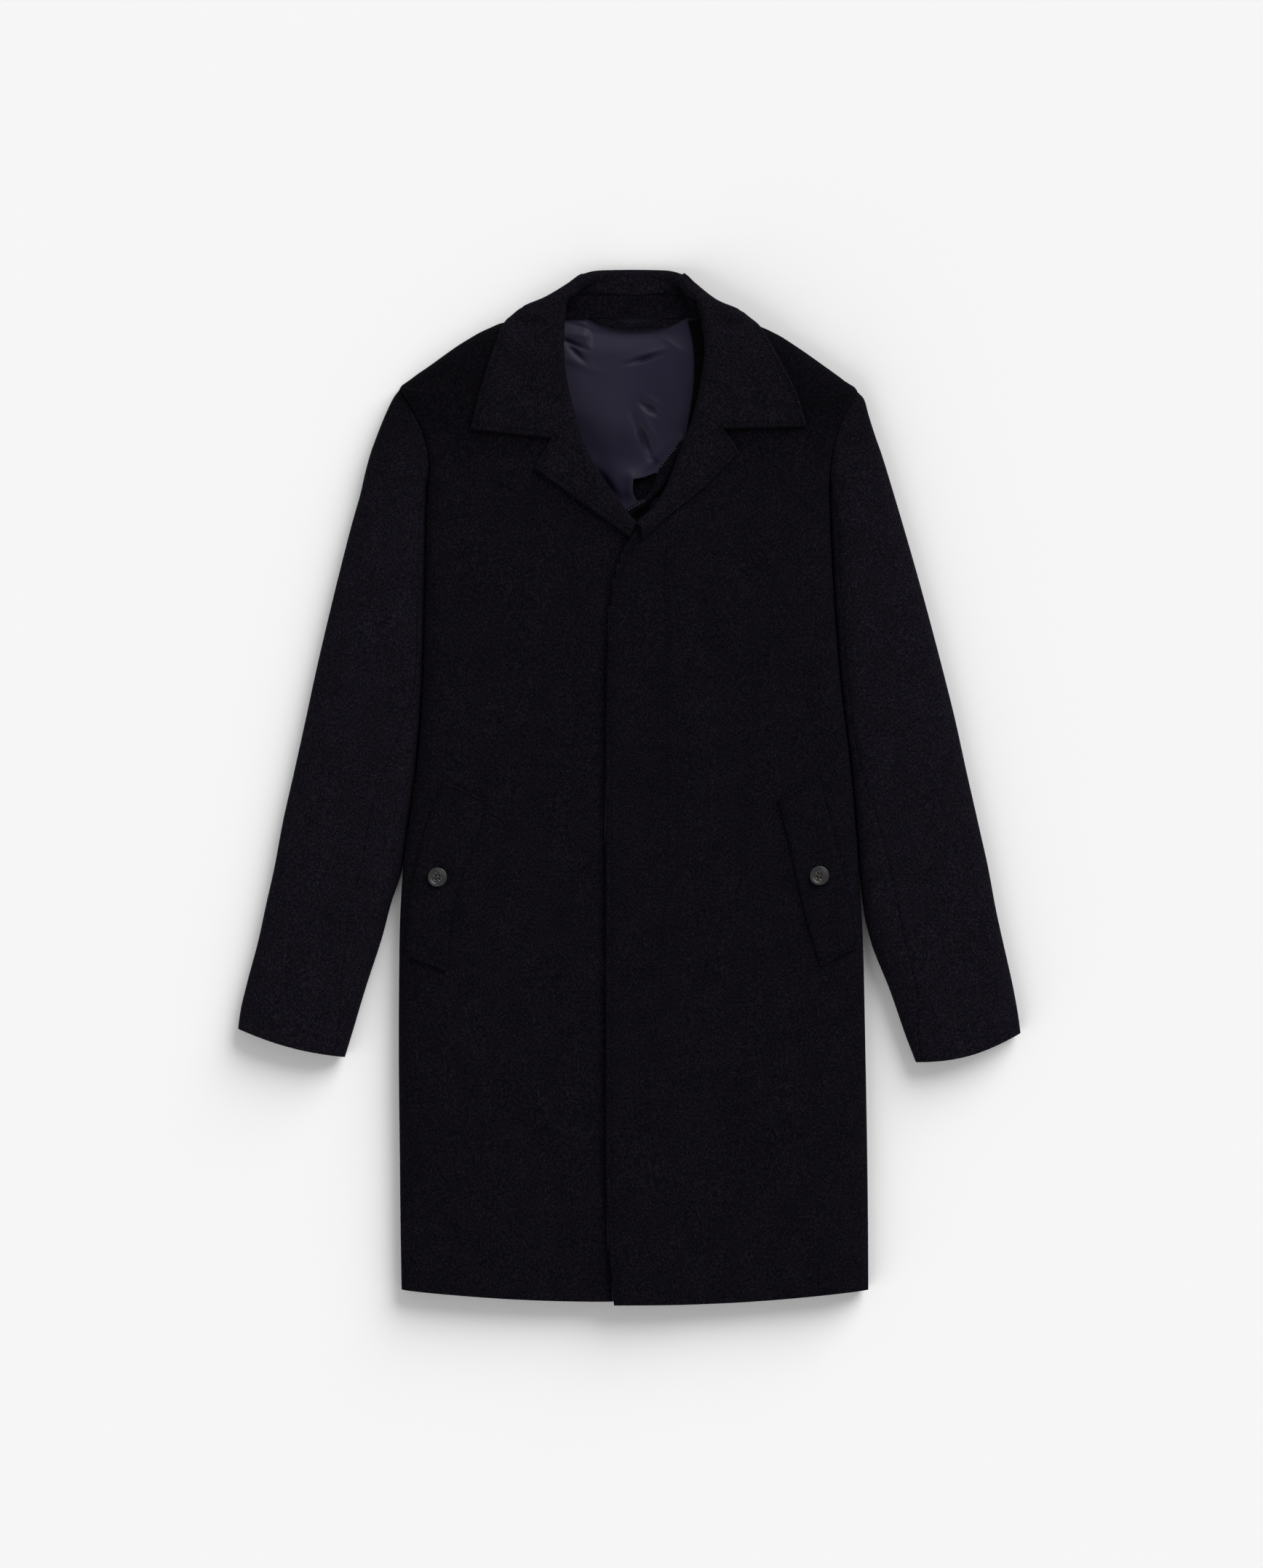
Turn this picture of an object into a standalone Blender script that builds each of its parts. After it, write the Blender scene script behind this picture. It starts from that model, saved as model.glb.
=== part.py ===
"""Wool overcoat laid out on its back, fronts closed over each other with a concealed fly.

The coat lies on the ground plane, collar toward +Y and fronts up (+Z), so the wearer's right is
at -X. It is soft and hollow: the back lies flat, and the fronts and sleeves stand over it as
shells that turn under at their side folds. Tables hold plan positions in millimetres; every
shell is an open grid of its outer face that Solidify thickens inwards.
"""

import math
from collections import namedtuple

import bmesh
import bpy
import numpy as np
from mathutils import Vector
from mathutils.bvhtree import BVHTree

MM = 0.001

# ---------------------------------------------------------------- driving sizes, millimetres
SHELL = 3.0  # wall of a panel: wool cloth, interlining and lining as one
LEAF = 4.0  # wall of the lapels and the collar, which are doubled cloth
LINING = 1.0
SEAM = 0.4  # between two panels at a seam
LAY = 0.8  # between a piece and the panel that it lies on
ROLL = 6.5  # outer radius of the rolled fold of a lapel or the collar
BESIDE = 0.55  # between a sleeve and the body beside it
TURN_UNDER = 20.0  # from a body panel's fold to its seam, underneath
ELBOW_TURN = 14.0  # from a sleeve's outer fold to its elbow seam, underneath
FOLD_REACH = 12.0  # how far in plan the lower half of a fold reaches
EDGE_POWER = 2.2  # roundness of the shoulders of a shell's section
NECK = (5.0, 500.0)  # centre of the back neck
NECK_RISE = (125.0, 170.0)  # the back lies on the collar inside the first radius
NECK_END = {"right": (-70.0, 480.0), "left": (77.6, 480.0)}  # where the roll lines run out
SWEEP = 0.77  # roundness of the collar's side where it turns down behind the neck
EDGE_IN_ROLL = 1.2  # how far a front's edge reaches past the core of the roll around it
SKY = 500.0  # above everything
OPENING = (5.0, 420.0)  # a point of the neck opening
OVERLAP_END = (45.0, 55.0)  # where the over front starts to come down, and over what width
OVERLAP_TOP = (265.0, 60.0)  # the same along the coat
CLOSING = (4.0, 256.0)  # top of the closing, over the lapel that passes under it
CLOSING_LIFT = 3.4
CLOSING_SPREAD = 22.0

# ---------------------------------------------------------------- fineness of the shells
FOLD_STEPS = 3  # steps of the lower half of a fold
ROLL_STEPS = 6  # steps round a rolled fold
LEAF_STEPS = 7  # steps from a roll to the leaf's edge
BACK_COLUMNS = 17
SLEEVE_COLUMNS = 9
SLEEVE_FINE_ROWS = 8  # a sleeve has every row up to this one, then one each SLEEVE_STEP
SLEEVE_STEP = 0.75
OUTLINE_POINTS = 140  # of a front's outer fold
SLEEVE_POINTS = 160  # of a sleeve's folds

# ---------------------------------------------------------------- tables, millimetres
# One row for each section of a front: its inner edge, its outer fold, the height of the fold's
# outermost point and the width over which the shell rounds over to its full height.
FrontRow = namedtuple("FrontRow", "edge_x edge_y side_x side_y fold_z round_w")

FRONT_RIGHT = [
    FrontRow(38.0, -522.0, -231.0, -511.0, 13, 45),
    FrontRow(38.0, -450.0, -232.0, -447.0, 15, 52),
    FrontRow(38.0, -380.0, -232.6, -383.0, 15, 56),
    FrontRow(38.0, -265.0, -233.8, -265.0, 15, 56),
    FrontRow(38.0, -161.0, -233.1, -161.0, 15, 54),
    FrontRow(38.0, -80.0, -229.4, -81.0, 16, 46),
    FrontRow(38.0, 18.0, -215.3, 18.0, 18, 34),
    FrontRow(38.0, 117.0, -208.7, 117.0, 18, 30),
    FrontRow(38.0, 190.0, -206.5, 209.0, 18, 30),
    FrontRow(38.0, 232.0, -205.3, 268.0, 18, 30),
    FrontRow(20.0, 253.0, -204.3, 300.0, 19, 28),
    FrontRow(4.5, 265.5, -201.8, 320.0, 22, 22),
    FrontRow(-18.5, 294.3, -203.5, 341.0, 23, 20),
    FrontRow(-36.9, 321.2, -209.2, 362.0, 23, 20),
    FrontRow(-49.5, 346.0, -219.5, 384.0, 22, 22),
    FrontRow(-58.0, 371.0, -230.5, 404.5, 18, 30),
    FrontRow(-63.1, 392.0, -222.0, 415.5, 15, 40),
    FrontRow(-67.2, 410.0, -200.5, 430.0, 14, 44),
    FrontRow(-69.6, 427.0, -170.0, 451.5, 14, 44),
    FrontRow(-70.4, 439.0, -144.0, 464.0, 14, 44),
    FrontRow(-70.6, 449.0, -118.0, 466.5, 14, 44),
    FrontRow(-70.4, 457.0, -96.0, 468.5, 14, 44),
]

FRONT_LEFT = [
    FrontRow(-14.8, -526.0, 244.0, -511.0, 13, 45),
    FrontRow(-20.4, -455.0, 243.7, -455.0, 15, 52),
    FrontRow(-22.9, -380.0, 242.9, -380.0, 15, 56),
    FrontRow(-22.9, -265.0, 240.9, -265.0, 15, 56),
    FrontRow(-22.9, -161.0, 238.6, -161.0, 15, 54),
    FrontRow(-22.9, -80.0, 234.0, -81.0, 16, 46),
    FrontRow(-22.9, 18.0, 225.8, 18.0, 18, 34),
    FrontRow(-21.8, 117.0, 214.3, 117.0, 18, 30),
    FrontRow(-17.0, 195.0, 208.0, 205.0, 18, 30),
    FrontRow(-5.2, 237.5, 205.0, 268.0, 18, 30),
    FrontRow(4.8, 256.0, 204.2, 300.0, 19, 28),
    FrontRow(12.2, 265.4, 204.6, 320.0, 22, 22),
    FrontRow(28.6, 280.2, 207.0, 340.0, 23, 20),
    FrontRow(44.3, 306.5, 211.8, 360.0, 23, 20),
    FrontRow(52.2, 327.0, 220.5, 380.5, 22, 22),
    FrontRow(60.3, 349.0, 231.0, 403.0, 18, 30),
    FrontRow(68.3, 369.0, 220.0, 413.0, 15, 40),
    FrontRow(74.0, 390.0, 197.0, 430.0, 14, 44),
    FrontRow(77.2, 413.0, 172.0, 447.5, 14, 44),
    FrontRow(78.5, 430.0, 150.0, 460.0, 14, 44),
    FrontRow(78.7, 443.0, 126.0, 466.0, 14, 44),
    FrontRow(78.3, 454.0, 104.0, 469.5, 14, 44),
]
FRONT_COLUMNS = (1, 0.96, 0.88, 0.74, 0.56, 0.4, 0.27, 0.17, 0.1, 0.05, 0.016, 0)  # edge to fold
UNDERARM = 10  # the side fold runs from the hem to this row of a front
SHOULDER = 16  # the shoulder fold runs from this row to the neck
HEM_BOW = 4.5  # how far the hem hangs below a straight line between its corners

# Full height of the fronts along the coat.
CrownRow = namedtuple("CrownRow", "y height")
CROWN = [
    CrownRow(-530, 28),
    CrownRow(-480, 30),
    CrownRow(-380, 31.5),
    CrownRow(-150, 32),
    CrownRow(100, 32),
    CrownRow(250, 33),
    CrownRow(360, 34),
    CrownRow(440, 33),
    CrownRow(500, 31),
]

# Soft folds of the fronts: ridges (rise > 0) and troughs that run along `lean` from +Y.
FoldRow = namedtuple("FoldRow", "x y half_length half_width rise lean")
FOLDS = [
    FoldRow(-150, -330, 150, 16, 1.6, -4),
    FoldRow(-95, -360, 130, 18, -1.4, 3),
    FoldRow(118, -340, 150, 17, 1.5, 5),
    FoldRow(214, -330, 48, 9, -2.6, 17),
    FoldRow(196, -322, 60, 10, 1.8, 14),
    FoldRow(-120, 60, 120, 20, 1.2, 6),
    FoldRow(128, 90, 120, 18, 1.2, -6),
    FoldRow(-165, 285, 45, 12, -1.6, 38),
    FoldRow(168, 285, 45, 12, -1.6, -38),
]

# One row for each section of a sleeve. The upper ones lie beside the body at `beside`, counted
# in rows of the front; the lower ones are free and give their inner fold.
UpperSleeveRow = namedtuple("UpperSleeveRow", "beside outer_x outer_y fold_z round_w crown seam")
LowerSleeveRow = namedtuple(
    "LowerSleeveRow", "inner_x inner_y outer_x outer_y fold_z round_w crown seam"
)

SLEEVE_RIGHT_UPPER = [
    UpperSleeveRow(14.7, -240.6, 396.5, 20, 14, 24, 2.6),
    UpperSleeveRow(14.0, -248.5, 381.0, 23, 14, 29, 2),
    UpperSleeveRow(13.0, -256.0, 361.0, 26, 13, 31, 2),
    UpperSleeveRow(12.0, -262.5, 340.0, 26, 13, 31, 2),
    UpperSleeveRow(11.0, -268.0, 320.0, 24, 16, 31, 2),
    UpperSleeveRow(10.0, -272.5, 300.0, 15, 26, 31, 7),
    UpperSleeveRow(9.0, -281.5, 268.0, 13, 28, 31, 7),
    UpperSleeveRow(8.0, -296.6, 209.0, 13, 28, 31, 7),
    UpperSleeveRow(7.0, -318.3, 117.0, 13, 28, 30, 7),
    UpperSleeveRow(6.5, -329.0, 67.0, 13, 28, 30, 17),
    UpperSleeveRow(6.0, -339.8, 18.0, 13, 30, 30, 32),
    UpperSleeveRow(5.5, -351.7, -35.0, 13, 32, 30, 40),
    UpperSleeveRow(5.0, -360.5, -82.0, 13, 34, 30, 42),
]
SLEEVE_RIGHT_LOWER = [
    LowerSleeveRow(-241.5, -118.0, -369.0, -120.0, 13, 36, 30, 41),
    LowerSleeveRow(-250.5, -152.0, -376.5, -155.0, 13, 38, 29, 36),
    LowerSleeveRow(-268.0, -206.0, -388.5, -200.0, 13, 38, 29, 24),
    LowerSleeveRow(-280.5, -248.0, -395.0, -228.0, 13, 36, 28, 15),
    LowerSleeveRow(-288.6, -274.5, -397.4, -245.7, 12, 34, 28, 10),
]

SLEEVE_LEFT_UPPER = [
    UpperSleeveRow(14.7, 239.6, 395.0, 20, 14, 24, 2.6),
    UpperSleeveRow(14.0, 244.5, 378.0, 23, 14, 29, 2),
    UpperSleeveRow(13.0, 250.5, 359.0, 26, 13, 31, 2),
    UpperSleeveRow(12.0, 257.5, 339.0, 26, 13, 31, 2),
    UpperSleeveRow(11.0, 263.5, 320.0, 24, 16, 31, 2),
    UpperSleeveRow(10.0, 269.5, 300.0, 15, 26, 31, 7),
    UpperSleeveRow(9.0, 279.0, 268.0, 13, 28, 31, 7),
    UpperSleeveRow(8.0, 297.0, 205.0, 13, 28, 31, 7),
    UpperSleeveRow(7.0, 320.4, 117.0, 13, 28, 30, 7),
    UpperSleeveRow(6.5, 332.8, 67.0, 13, 28, 30, 7),
    UpperSleeveRow(6.0, 343.5, 18.0, 13, 30, 30, 10),
    UpperSleeveRow(5.5, 355.5, -35.0, 13, 32, 30, 22),
    UpperSleeveRow(5.0, 366.0, -82.0, 13, 34, 30, 31),
]
SLEEVE_LEFT_LOWER = [
    LowerSleeveRow(239.6, -128.0, 373.8, -124.0, 13, 36, 30, 35),
    LowerSleeveRow(246.8, -158.0, 381.0, -157.0, 13, 38, 29, 34),
    LowerSleeveRow(266.4, -208.0, 391.5, -204.0, 13, 38, 29, 26),
    LowerSleeveRow(282.0, -253.0, 396.8, -234.0, 13, 36, 28, 12),
    LowerSleeveRow(292.3, -279.7, 398.9, -250.1, 12, 34, 28, 6),
]
SLEEVE_OUTER_Z = 12.0
SLEEVE_OUTER_W = 44.0
CUFF_BOW = {"right": 4.5, "left": 8.0}

# A lapel: the core of its roll and the leaf's outer edge, from the closing up to the gorge.
LapelRow = namedtuple("LapelRow", "core_x core_y leaf_x leaf_y")
LAPEL_RIGHT = [
    LapelRow(5.8, 262.1, 1.0, 254.2),
    LapelRow(-7.2, 280.3, -23.3, 271.7),
    LapelRow(-20.3, 294.8, -45.0, 287.3),
    LapelRow(-33.4, 314.3, -72.0, 306.7),
    LapelRow(-44.4, 332.5, -96.2, 324.1),
    LapelRow(-53.1, 351.8, -87.3, 339.0),
    LapelRow(-59.6, 373.5, -78.1, 353.7),
]
LAPEL_LEFT = [
    LapelRow(12.6, 264.4, 15.0, 251.0),
    LapelRow(24.2, 272.1, 31.0, 267.0),
    LapelRow(33.8, 285.5, 49.0, 282.0),
    LapelRow(45.0, 307.0, 76.2, 303.4),
    LapelRow(56.8, 338.9, 112.5, 338.9),
    LapelRow(64.9, 359.7, 105.0, 351.5),
    LapelRow(72.9, 379.6, 96.5, 363.3),
]
LAPEL_RETURN = 9.0  # how far the facing goes back in under the front
OPEN_ROWS = {"right": 0, "left": 3}  # fine rows at the closing whose facing has no room to return

# The collar: the core of its roll, its outermost point in plan, the leaf's edge where that lies
# behind the back, the roll's turn (180 = leaf folded over the fronts, 0 = fold behind the neck),
# the core's height where it leaves the fronts, and the length of the inner side.
CollarRow = namedtuple("CollarRow", "core_x core_y side_x side_y end_x end_y turn core_z inner steps")
COLLAR = [
    CollarRow(-59.9, 374.3, -78.4, 354.5, -78.4, 354.5, 180, 0, 9, 4),
    CollarRow(-66.1, 399.7, -160.6, 363.3, -160.6, 363.3, 180, 0, 9, 2),
    CollarRow(-70.3, 423.3, -151.3, 401.0, -151.3, 401.0, 180, 0, 9, 2),
    CollarRow(-71.4, 449.0, -139.5, 438.0, -139.5, 438.0, 180, 0, 5.5, 2),
    CollarRow(-70.8, 472.0, -127.5, 471.5, -127.5, 471.5, 180, 0, 4, 3),
    CollarRow(-70.3, 484.6, -108.0, 488.5, -105.0, 466.0, 180, 27, 9, 2),
    CollarRow(-67.9, 495.2, -85.0, 498.5, -72.0, 449.0, 175, 25.5, 7, 3),
    CollarRow(-57.3, 505.8, -62.5, 512.0, -48.0, 443.0, 140, 21, 4, 3),
    CollarRow(-43.7, 516.2, -46.0, 522.3, -32.0, 440.0, 90, 14.5, 5, 2),
    CollarRow(-28.0, 519.8, -28.5, 526.3, -18.0, 438.0, 20, 8, 15, 2),
    CollarRow(5.0, 520.5, 5.0, 527.0, 5.0, 437.0, 0, 6.5, 19.5, 2),
    CollarRow(36.0, 519.8, 36.5, 526.3, 26.0, 438.0, 20, 8, 15, 2),
    CollarRow(52.1, 515.7, 55.0, 521.5, 41.0, 440.0, 90, 14.5, 5, 3),
    CollarRow(63.0, 504.6, 68.5, 510.5, 57.0, 443.0, 140, 21, 3.5, 3),
    CollarRow(74.0, 494.0, 91.0, 495.0, 80.0, 449.0, 175, 25.5, 6, 3),
    CollarRow(76.5, 483.5, 113.0, 485.5, 110.5, 464.0, 180, 27, 9, 3),
    CollarRow(78.0, 470.6, 135.0, 467.5, 135.0, 467.5, 180, 0, 4, 2),
    CollarRow(79.7, 448.9, 151.5, 437.0, 151.5, 437.0, 180, 0, 5.5, 2),
    CollarRow(79.1, 426.3, 170.0, 402.0, 170.0, 402.0, 180, 0, 9, 2),
    CollarRow(76.6, 402.8, 181.0, 365.5, 181.0, 365.5, 180, 0, 9, 4),
    CollarRow(73.4, 380.4, 96.9, 364.1, 96.9, 364.1, 180, 0, 9, 1),
]
LEAF_ROWS = 4  # the leaf lies on a front up to this row, at both ends of the table

# The welts: a point of the outer edge and one of the inner edge, from the top end down.
WeltRow = namedtuple("WeltRow", "outer_x outer_y inner_x inner_y")
WELT_RIGHT = [
    WeltRow(-187.0, 6.5, -143.5, -13.0),
    WeltRow(-203.5, -36.0, -154.0, -50.0),
    WeltRow(-215.5, -84.0, -170.2, -92.5),
    WeltRow(-222.5, -128.0, -180.8, -138.0),
    WeltRow(-225.5, -170.5, -184.5, -187.0),
]
WELT_LEFT = [
    WeltRow(193.0, 11.0, 151.0, -12.6),
    WeltRow(204.2, -35.5, 159.0, -40.0),
    WeltRow(214.6, -79.0, 168.5, -82.0),
    WeltRow(223.5, -124.0, 180.0, -131.0),
    WeltRow(230.0, -163.5, 195.0, -182.0),
]
WELT_WALL = 3.0

BUTTON_AT = {"right": (-193.5, -91.0), "left": (193.5, -89.5)}
BUTTON_RADIUS = 9.7
BUTTON_THICKNESS = 3.4
BUTTON_RIM = 2.2  # width of the raised rim
BUTTON_DISH = 0.7  # depth of the dished middle
HOLE_RADIUS = 1.0
HOLE_PITCH = 3.6  # between neighbouring holes

STAND_LOW_Y = 477.8
STAND_HIGH_Y = 500.5
STAND_LEFT_X = -63.0
STAND_RIGHT_X = 73.0
STAND_TAPER = 15.0  # how much shorter the upper edge is at each end
STAND_LOW_Z = 11.8
STAND_HIGH_Z = 13.0

LoopRow = namedtuple("LoopRow", "x y lift")
HANGER_LOOP = [
    LoopRow(-36.0, 474.3, 0.0),
    LoopRow(-24.0, 471.0, 0.6),
    LoopRow(0.0, 467.8, 1.2),
    LoopRow(24.0, 468.3, 1.2),
    LoopRow(44.0, 471.6, 0.6),
    LoopRow(55.0, 475.0, 0.0),
]
HANGER_WIDTH = 6.0
HANGER_WALL = 2.0

LINING_LEFT_X = -88.0
LINING_RIGHT_X = 96.0
LINING_TAPER = 21.0  # how much narrower it is at each side of the neck seam
LINING_LOW_Y = 238.0
LINING_HIGH_Y = 476.0
LINING_FOLDS = [
    FoldRow(-55, 462, 30, 5, 1.6, 72),
    FoldRow(-52, 445, 26, 4, -0.3, 80),
    FoldRow(18, 380, 46, 9, 1.8, -14),
    FoldRow(38, 350, 40, 8, 1.4, 12),
    FoldRow(-20, 330, 60, 14, 1.2, 20),
]

NAVY_WOOL = ("navy_wool", (0.0055, 0.0060, 0.0115), 0.92)
NAVY_SATIN = ("navy_satin", (0.021, 0.021, 0.040), 0.42)
DARK_HORN = ("dark_horn", (0.030, 0.019, 0.015), 0.38)


# ---------------------------------------------------------------- helpers
def smooth_step(value):
    """Rise from 0 to 1 with level ends."""
    t = np.clip(value, 0.0, 1.0)
    return t * t * (3.0 - 2.0 * t)


def through(values, at):
    """Values at fractional row numbers, on a smooth curve that never overshoots the rows."""
    values = np.asarray(values, float)
    at = np.clip(np.asarray(at, float), 0.0, len(values) - 1.0)
    step = np.diff(values)
    slope = np.zeros(len(values))
    same = step[:-1] * step[1:] > 0
    total = np.where(same, step[:-1] + step[1:], 1.0)
    slope[1:-1] = np.where(same, 2.0 * step[:-1] * step[1:] / total, 0.0)
    slope[0], slope[-1] = step[0], step[-1]
    low = np.minimum(at.astype(int), len(values) - 2)
    t = at - low
    start, end = values[low], values[low + 1]
    return (
        start * (1 + 2 * t) * (1 - t) ** 2
        + slope[low] * t * (1 - t) ** 2
        + end * t * t * (3 - 2 * t)
        + slope[low + 1] * t * t * (t - 1)
    )


def column(rows, name, at):
    """One named column of a table at fractional row numbers."""
    return through([getattr(row, name) for row in rows], at)


def linear_column(rows, name, at):
    """One named column of a table with straight runs between its rows."""
    return np.interp(at, range(len(rows)), [getattr(row, name) for row in rows])


def place_of(rows, name, at, pick=column):
    """Plan point of a table's named line at one fractional row number."""
    return np.array([float(pick(rows, f"{name}_x", at)), float(pick(rows, f"{name}_y", at))])


def unit(vector):
    """A plan or space vector of length one."""
    return vector / np.linalg.norm(vector)


def fold_relief(rows, x, y):
    """Sum of the soft ridges and troughs of a table at plan points."""
    relief = np.zeros(np.broadcast(x, y).shape)
    for row in rows:
        lean = math.radians(row.lean)
        across = (x - row.x) * math.cos(lean) - (y - row.y) * math.sin(lean)
        along = (x - row.x) * math.sin(lean) + (y - row.y) * math.cos(lean)
        relief += row.rise * np.exp(-((across / row.half_width) ** 2) - (along / row.half_length) ** 2)
    return relief


def rounded(share):
    """Height share of a shell's section at a share of its rounding width."""
    inward = 1.0 - np.clip(share, 0.0, 1.0)
    return (1.0 - inward**EDGE_POWER) ** (1.0 / EDGE_POWER)


class Dome:
    """A shell's outer face as a height over the plan, rounding down to its outer folds."""

    def __init__(self, outline, crown):
        """outline: rows of x, y, fold height, rounding width; crown: full height at x, y."""
        self.outline = np.asarray(outline, float)
        self.crown = crown

    def height(self, x, y, outset=0.0):
        """Height at plan points, with the outline moved out by outset."""
        x, y = np.broadcast_arrays(np.asarray(x, float), np.asarray(y, float))
        flat_x, flat_y = x.ravel(), y.ravel()
        full = self.crown(flat_x, flat_y)
        px, py, fold_z, width = self.outline.T
        away = np.hypot(flat_x[:, None] - px, flat_y[:, None] - py) + outset
        heights = fold_z + (full[:, None] - fold_z) * rounded(away / width)
        return heights.min(axis=1).reshape(x.shape)


def front_crown(x, y):
    """Full height of the fronts with their soft folds."""
    keys = [row.y for row in CROWN]
    full = through([row.height for row in CROWN], np.interp(y, keys, range(len(keys))))
    return full + fold_relief(FOLDS, x, y)


def fold_outline(rows):
    """Outer fold of a front as dense outline rows for its dome."""
    at = np.linspace(0, len(rows) - 1, OUTLINE_POINTS)
    return np.column_stack([column(rows, name, at) for name in ("side_x", "side_y", "fold_z", "round_w")])


DOMES = {
    "right": Dome(fold_outline(FRONT_RIGHT), front_crown),
    "left": Dome(fold_outline(FRONT_LEFT), front_crown),
}


def overlap_step(x, y):
    """How far the over front is lifted by the under front and by the lapel that passes under it."""
    across = 1.0 - smooth_step((x - OVERLAP_END[0]) / OVERLAP_END[1])
    along = 1.0 - smooth_step((y - OVERLAP_TOP[0]) / OVERLAP_TOP[1])
    away = ((x - CLOSING[0]) ** 2 + (y - CLOSING[1]) ** 2) / (2 * CLOSING_SPREAD**2)
    return (SHELL + LAY) * across * along + CLOSING_LIFT * np.exp(-away)


def front_top(side, x, y):
    """Height of a front's outer face."""
    height = DOMES[side].height(x, y)
    return height + overlap_step(x, y) if side == "left" else height


def back_rise(x, y):
    """How far the back is lifted by the collar that passes under it."""
    away = np.hypot(x - NECK[0], y - NECK[1])
    inner, outer = NECK_RISE
    return (LEAF + LAY) * (1.0 - smooth_step((away - inner) / (outer - inner)))


GROUNDS = {}  # the modelled faces of both fronts, by side
ROLL_LINES = {}  # the edges of both fronts inside the rolled folds, by side
FIRST_ROLL_POINT = 20  # point of a front's edge where the roll begins


class Ground:
    """The modelled outer face of a panel, to seat what lies on it."""

    def __init__(self, grid, fallback):
        """grid: rows x columns x 3 points; fallback(x, y): height beyond the panel."""
        rows, columns = grid.shape[:2]
        cells = [
            (i * columns + j, i * columns + j + 1, (i + 1) * columns + j + 1, (i + 1) * columns + j)
            for i in range(rows - 1)
            for j in range(columns - 1)
        ]
        self.tree = BVHTree.FromPolygons([Vector(point) for point in grid.reshape(-1, 3)], cells)
        self.fallback = fallback

    def height(self, x, y):
        """Heights of the panel's face at plan points."""
        x, y = np.broadcast_arrays(np.asarray(x, float), np.asarray(y, float))
        heights = np.array(self.fallback(x, y), float)
        for place in np.ndindex(x.shape):
            hit = self.tree.ray_cast(Vector((x[place], y[place], SKY)), Vector((0, 0, -1)))[0]
            if hit:
                heights[place] = hit.z
        return heights


# ---------------------------------------------------------------- Blender objects
def clear_scene():
    """Remove every object of the scene."""
    for item in list(bpy.data.objects):
        bpy.data.objects.remove(item, do_unlink=True)


def make_collection(name):
    """A collection linked to the scene."""
    collection = bpy.data.collections.new(name)
    bpy.context.scene.collection.children.link(collection)
    return collection


def make_material(name, colour, roughness):
    """A Principled material for one finish."""
    material = bpy.data.materials.new(name)
    material.use_nodes = True
    shader = material.node_tree.nodes["Principled BSDF"]
    shader.inputs["Base Color"].default_value = (*colour, 1.0)
    shader.inputs["Roughness"].default_value = roughness
    shader.inputs["Metallic"].default_value = 0.0
    return material


def add_object(name, mesh, material, collection):
    """Link a mesh as a named object with its material."""
    mesh.materials.append(material)
    item = bpy.data.objects.new(name, mesh)
    collection.objects.link(item)
    return item


def shell_object(name, grid, wall, material, collection, flip=False, keep=None):
    """A grid of outer-face points as an open surface, thickened inwards by Solidify.

    grid is rows x columns x 3 in millimetres and faces columns x rows, or the other way with flip;
    keep(row, column) says which cells are cloth.
    """
    rows, columns = grid.shape[:2]
    shell = bmesh.new()
    used = {}

    def vertex(i, j):
        if (i, j) not in used:
            used[i, j] = shell.verts.new(Vector(grid[i, j]) * MM)
        return used[i, j]

    for i in range(rows - 1):
        for j in range(columns - 1):
            if keep is None or keep(i, j):
                corners = [vertex(i, j), vertex(i, j + 1), vertex(i + 1, j + 1), vertex(i + 1, j)]
                shell.faces.new(corners[::-1] if flip else corners)
    mesh = bpy.data.meshes.new(name)
    shell.to_mesh(mesh)
    shell.free()
    mesh.shade_smooth()
    item = add_object(name, mesh, material, collection)
    solid = item.modifiers.new("wall", "SOLIDIFY")
    solid.thickness = wall * MM
    solid.offset = -1.0
    solid.use_rim = True
    solid.use_quality_normals = True
    return item


# ---------------------------------------------------------------- sections
def lower_fold(point, inward, fold_z, ground, reach, run):
    """The lower half of a fold and the cloth turned under, from the outermost point inwards."""
    points = []
    for k in range(1, FOLD_STEPS + 1):
        turn = math.radians(90.0 * k / FOLD_STEPS)
        plan = point + inward * reach * (1.0 - math.cos(turn))
        low = ground(*plan)
        points.append((*plan, low + (fold_z - low) * (1.0 - math.sin(turn))))
    plan = point + inward * run
    points.append((*plan, ground(*plan)))
    return points


def front_rows(rows):
    """Fine row numbers of a front: two to each long interval, one to each short one."""
    long_part = np.arange(0, UNDERARM, 0.5)
    return np.concatenate([long_part, np.arange(UNDERARM, len(rows))])


def front_grid(side, rows):
    """Outer-face grid of a front, from its inner edge over the side fold to its seam."""
    at = front_rows(rows)
    edge = np.column_stack([column(rows, "edge_x", at), column(rows, "edge_y", at)])
    fold = np.column_stack([column(rows, "side_x", at), column(rows, "side_y", at)])
    fold_z = column(rows, "fold_z", at)
    bow = HEM_BOW * np.clip(1.0 - at, 0.0, 1.0)
    shares = 1.0 - np.array(FRONT_COLUMNS)
    grid = []
    for edge_point, fold_point, height, drop in zip(edge, fold, fold_z, bow):
        plan = edge_point + (fold_point - edge_point) * shares[:, None]
        plan[:, 1] -= drop * np.sin(np.pi * shares)
        top = np.column_stack([plan, front_top(side, plan[:, 0], plan[:, 1])])
        top[-1, 2] = height
        inward = unit(edge_point - fold_point)
        run = min(TURN_UNDER, 0.8 * np.linalg.norm(edge_point - fold_point))
        under = lower_fold(fold_point, inward, height, back_rise, 0.6 * run, run)
        grid.append(np.vstack([top, under]))
    return at, np.array(grid)


def wrapped(at):
    """Whether a fine row of a front turns under: along the side and along the shoulder."""
    return at <= UNDERARM or at >= SHOULDER


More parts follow.
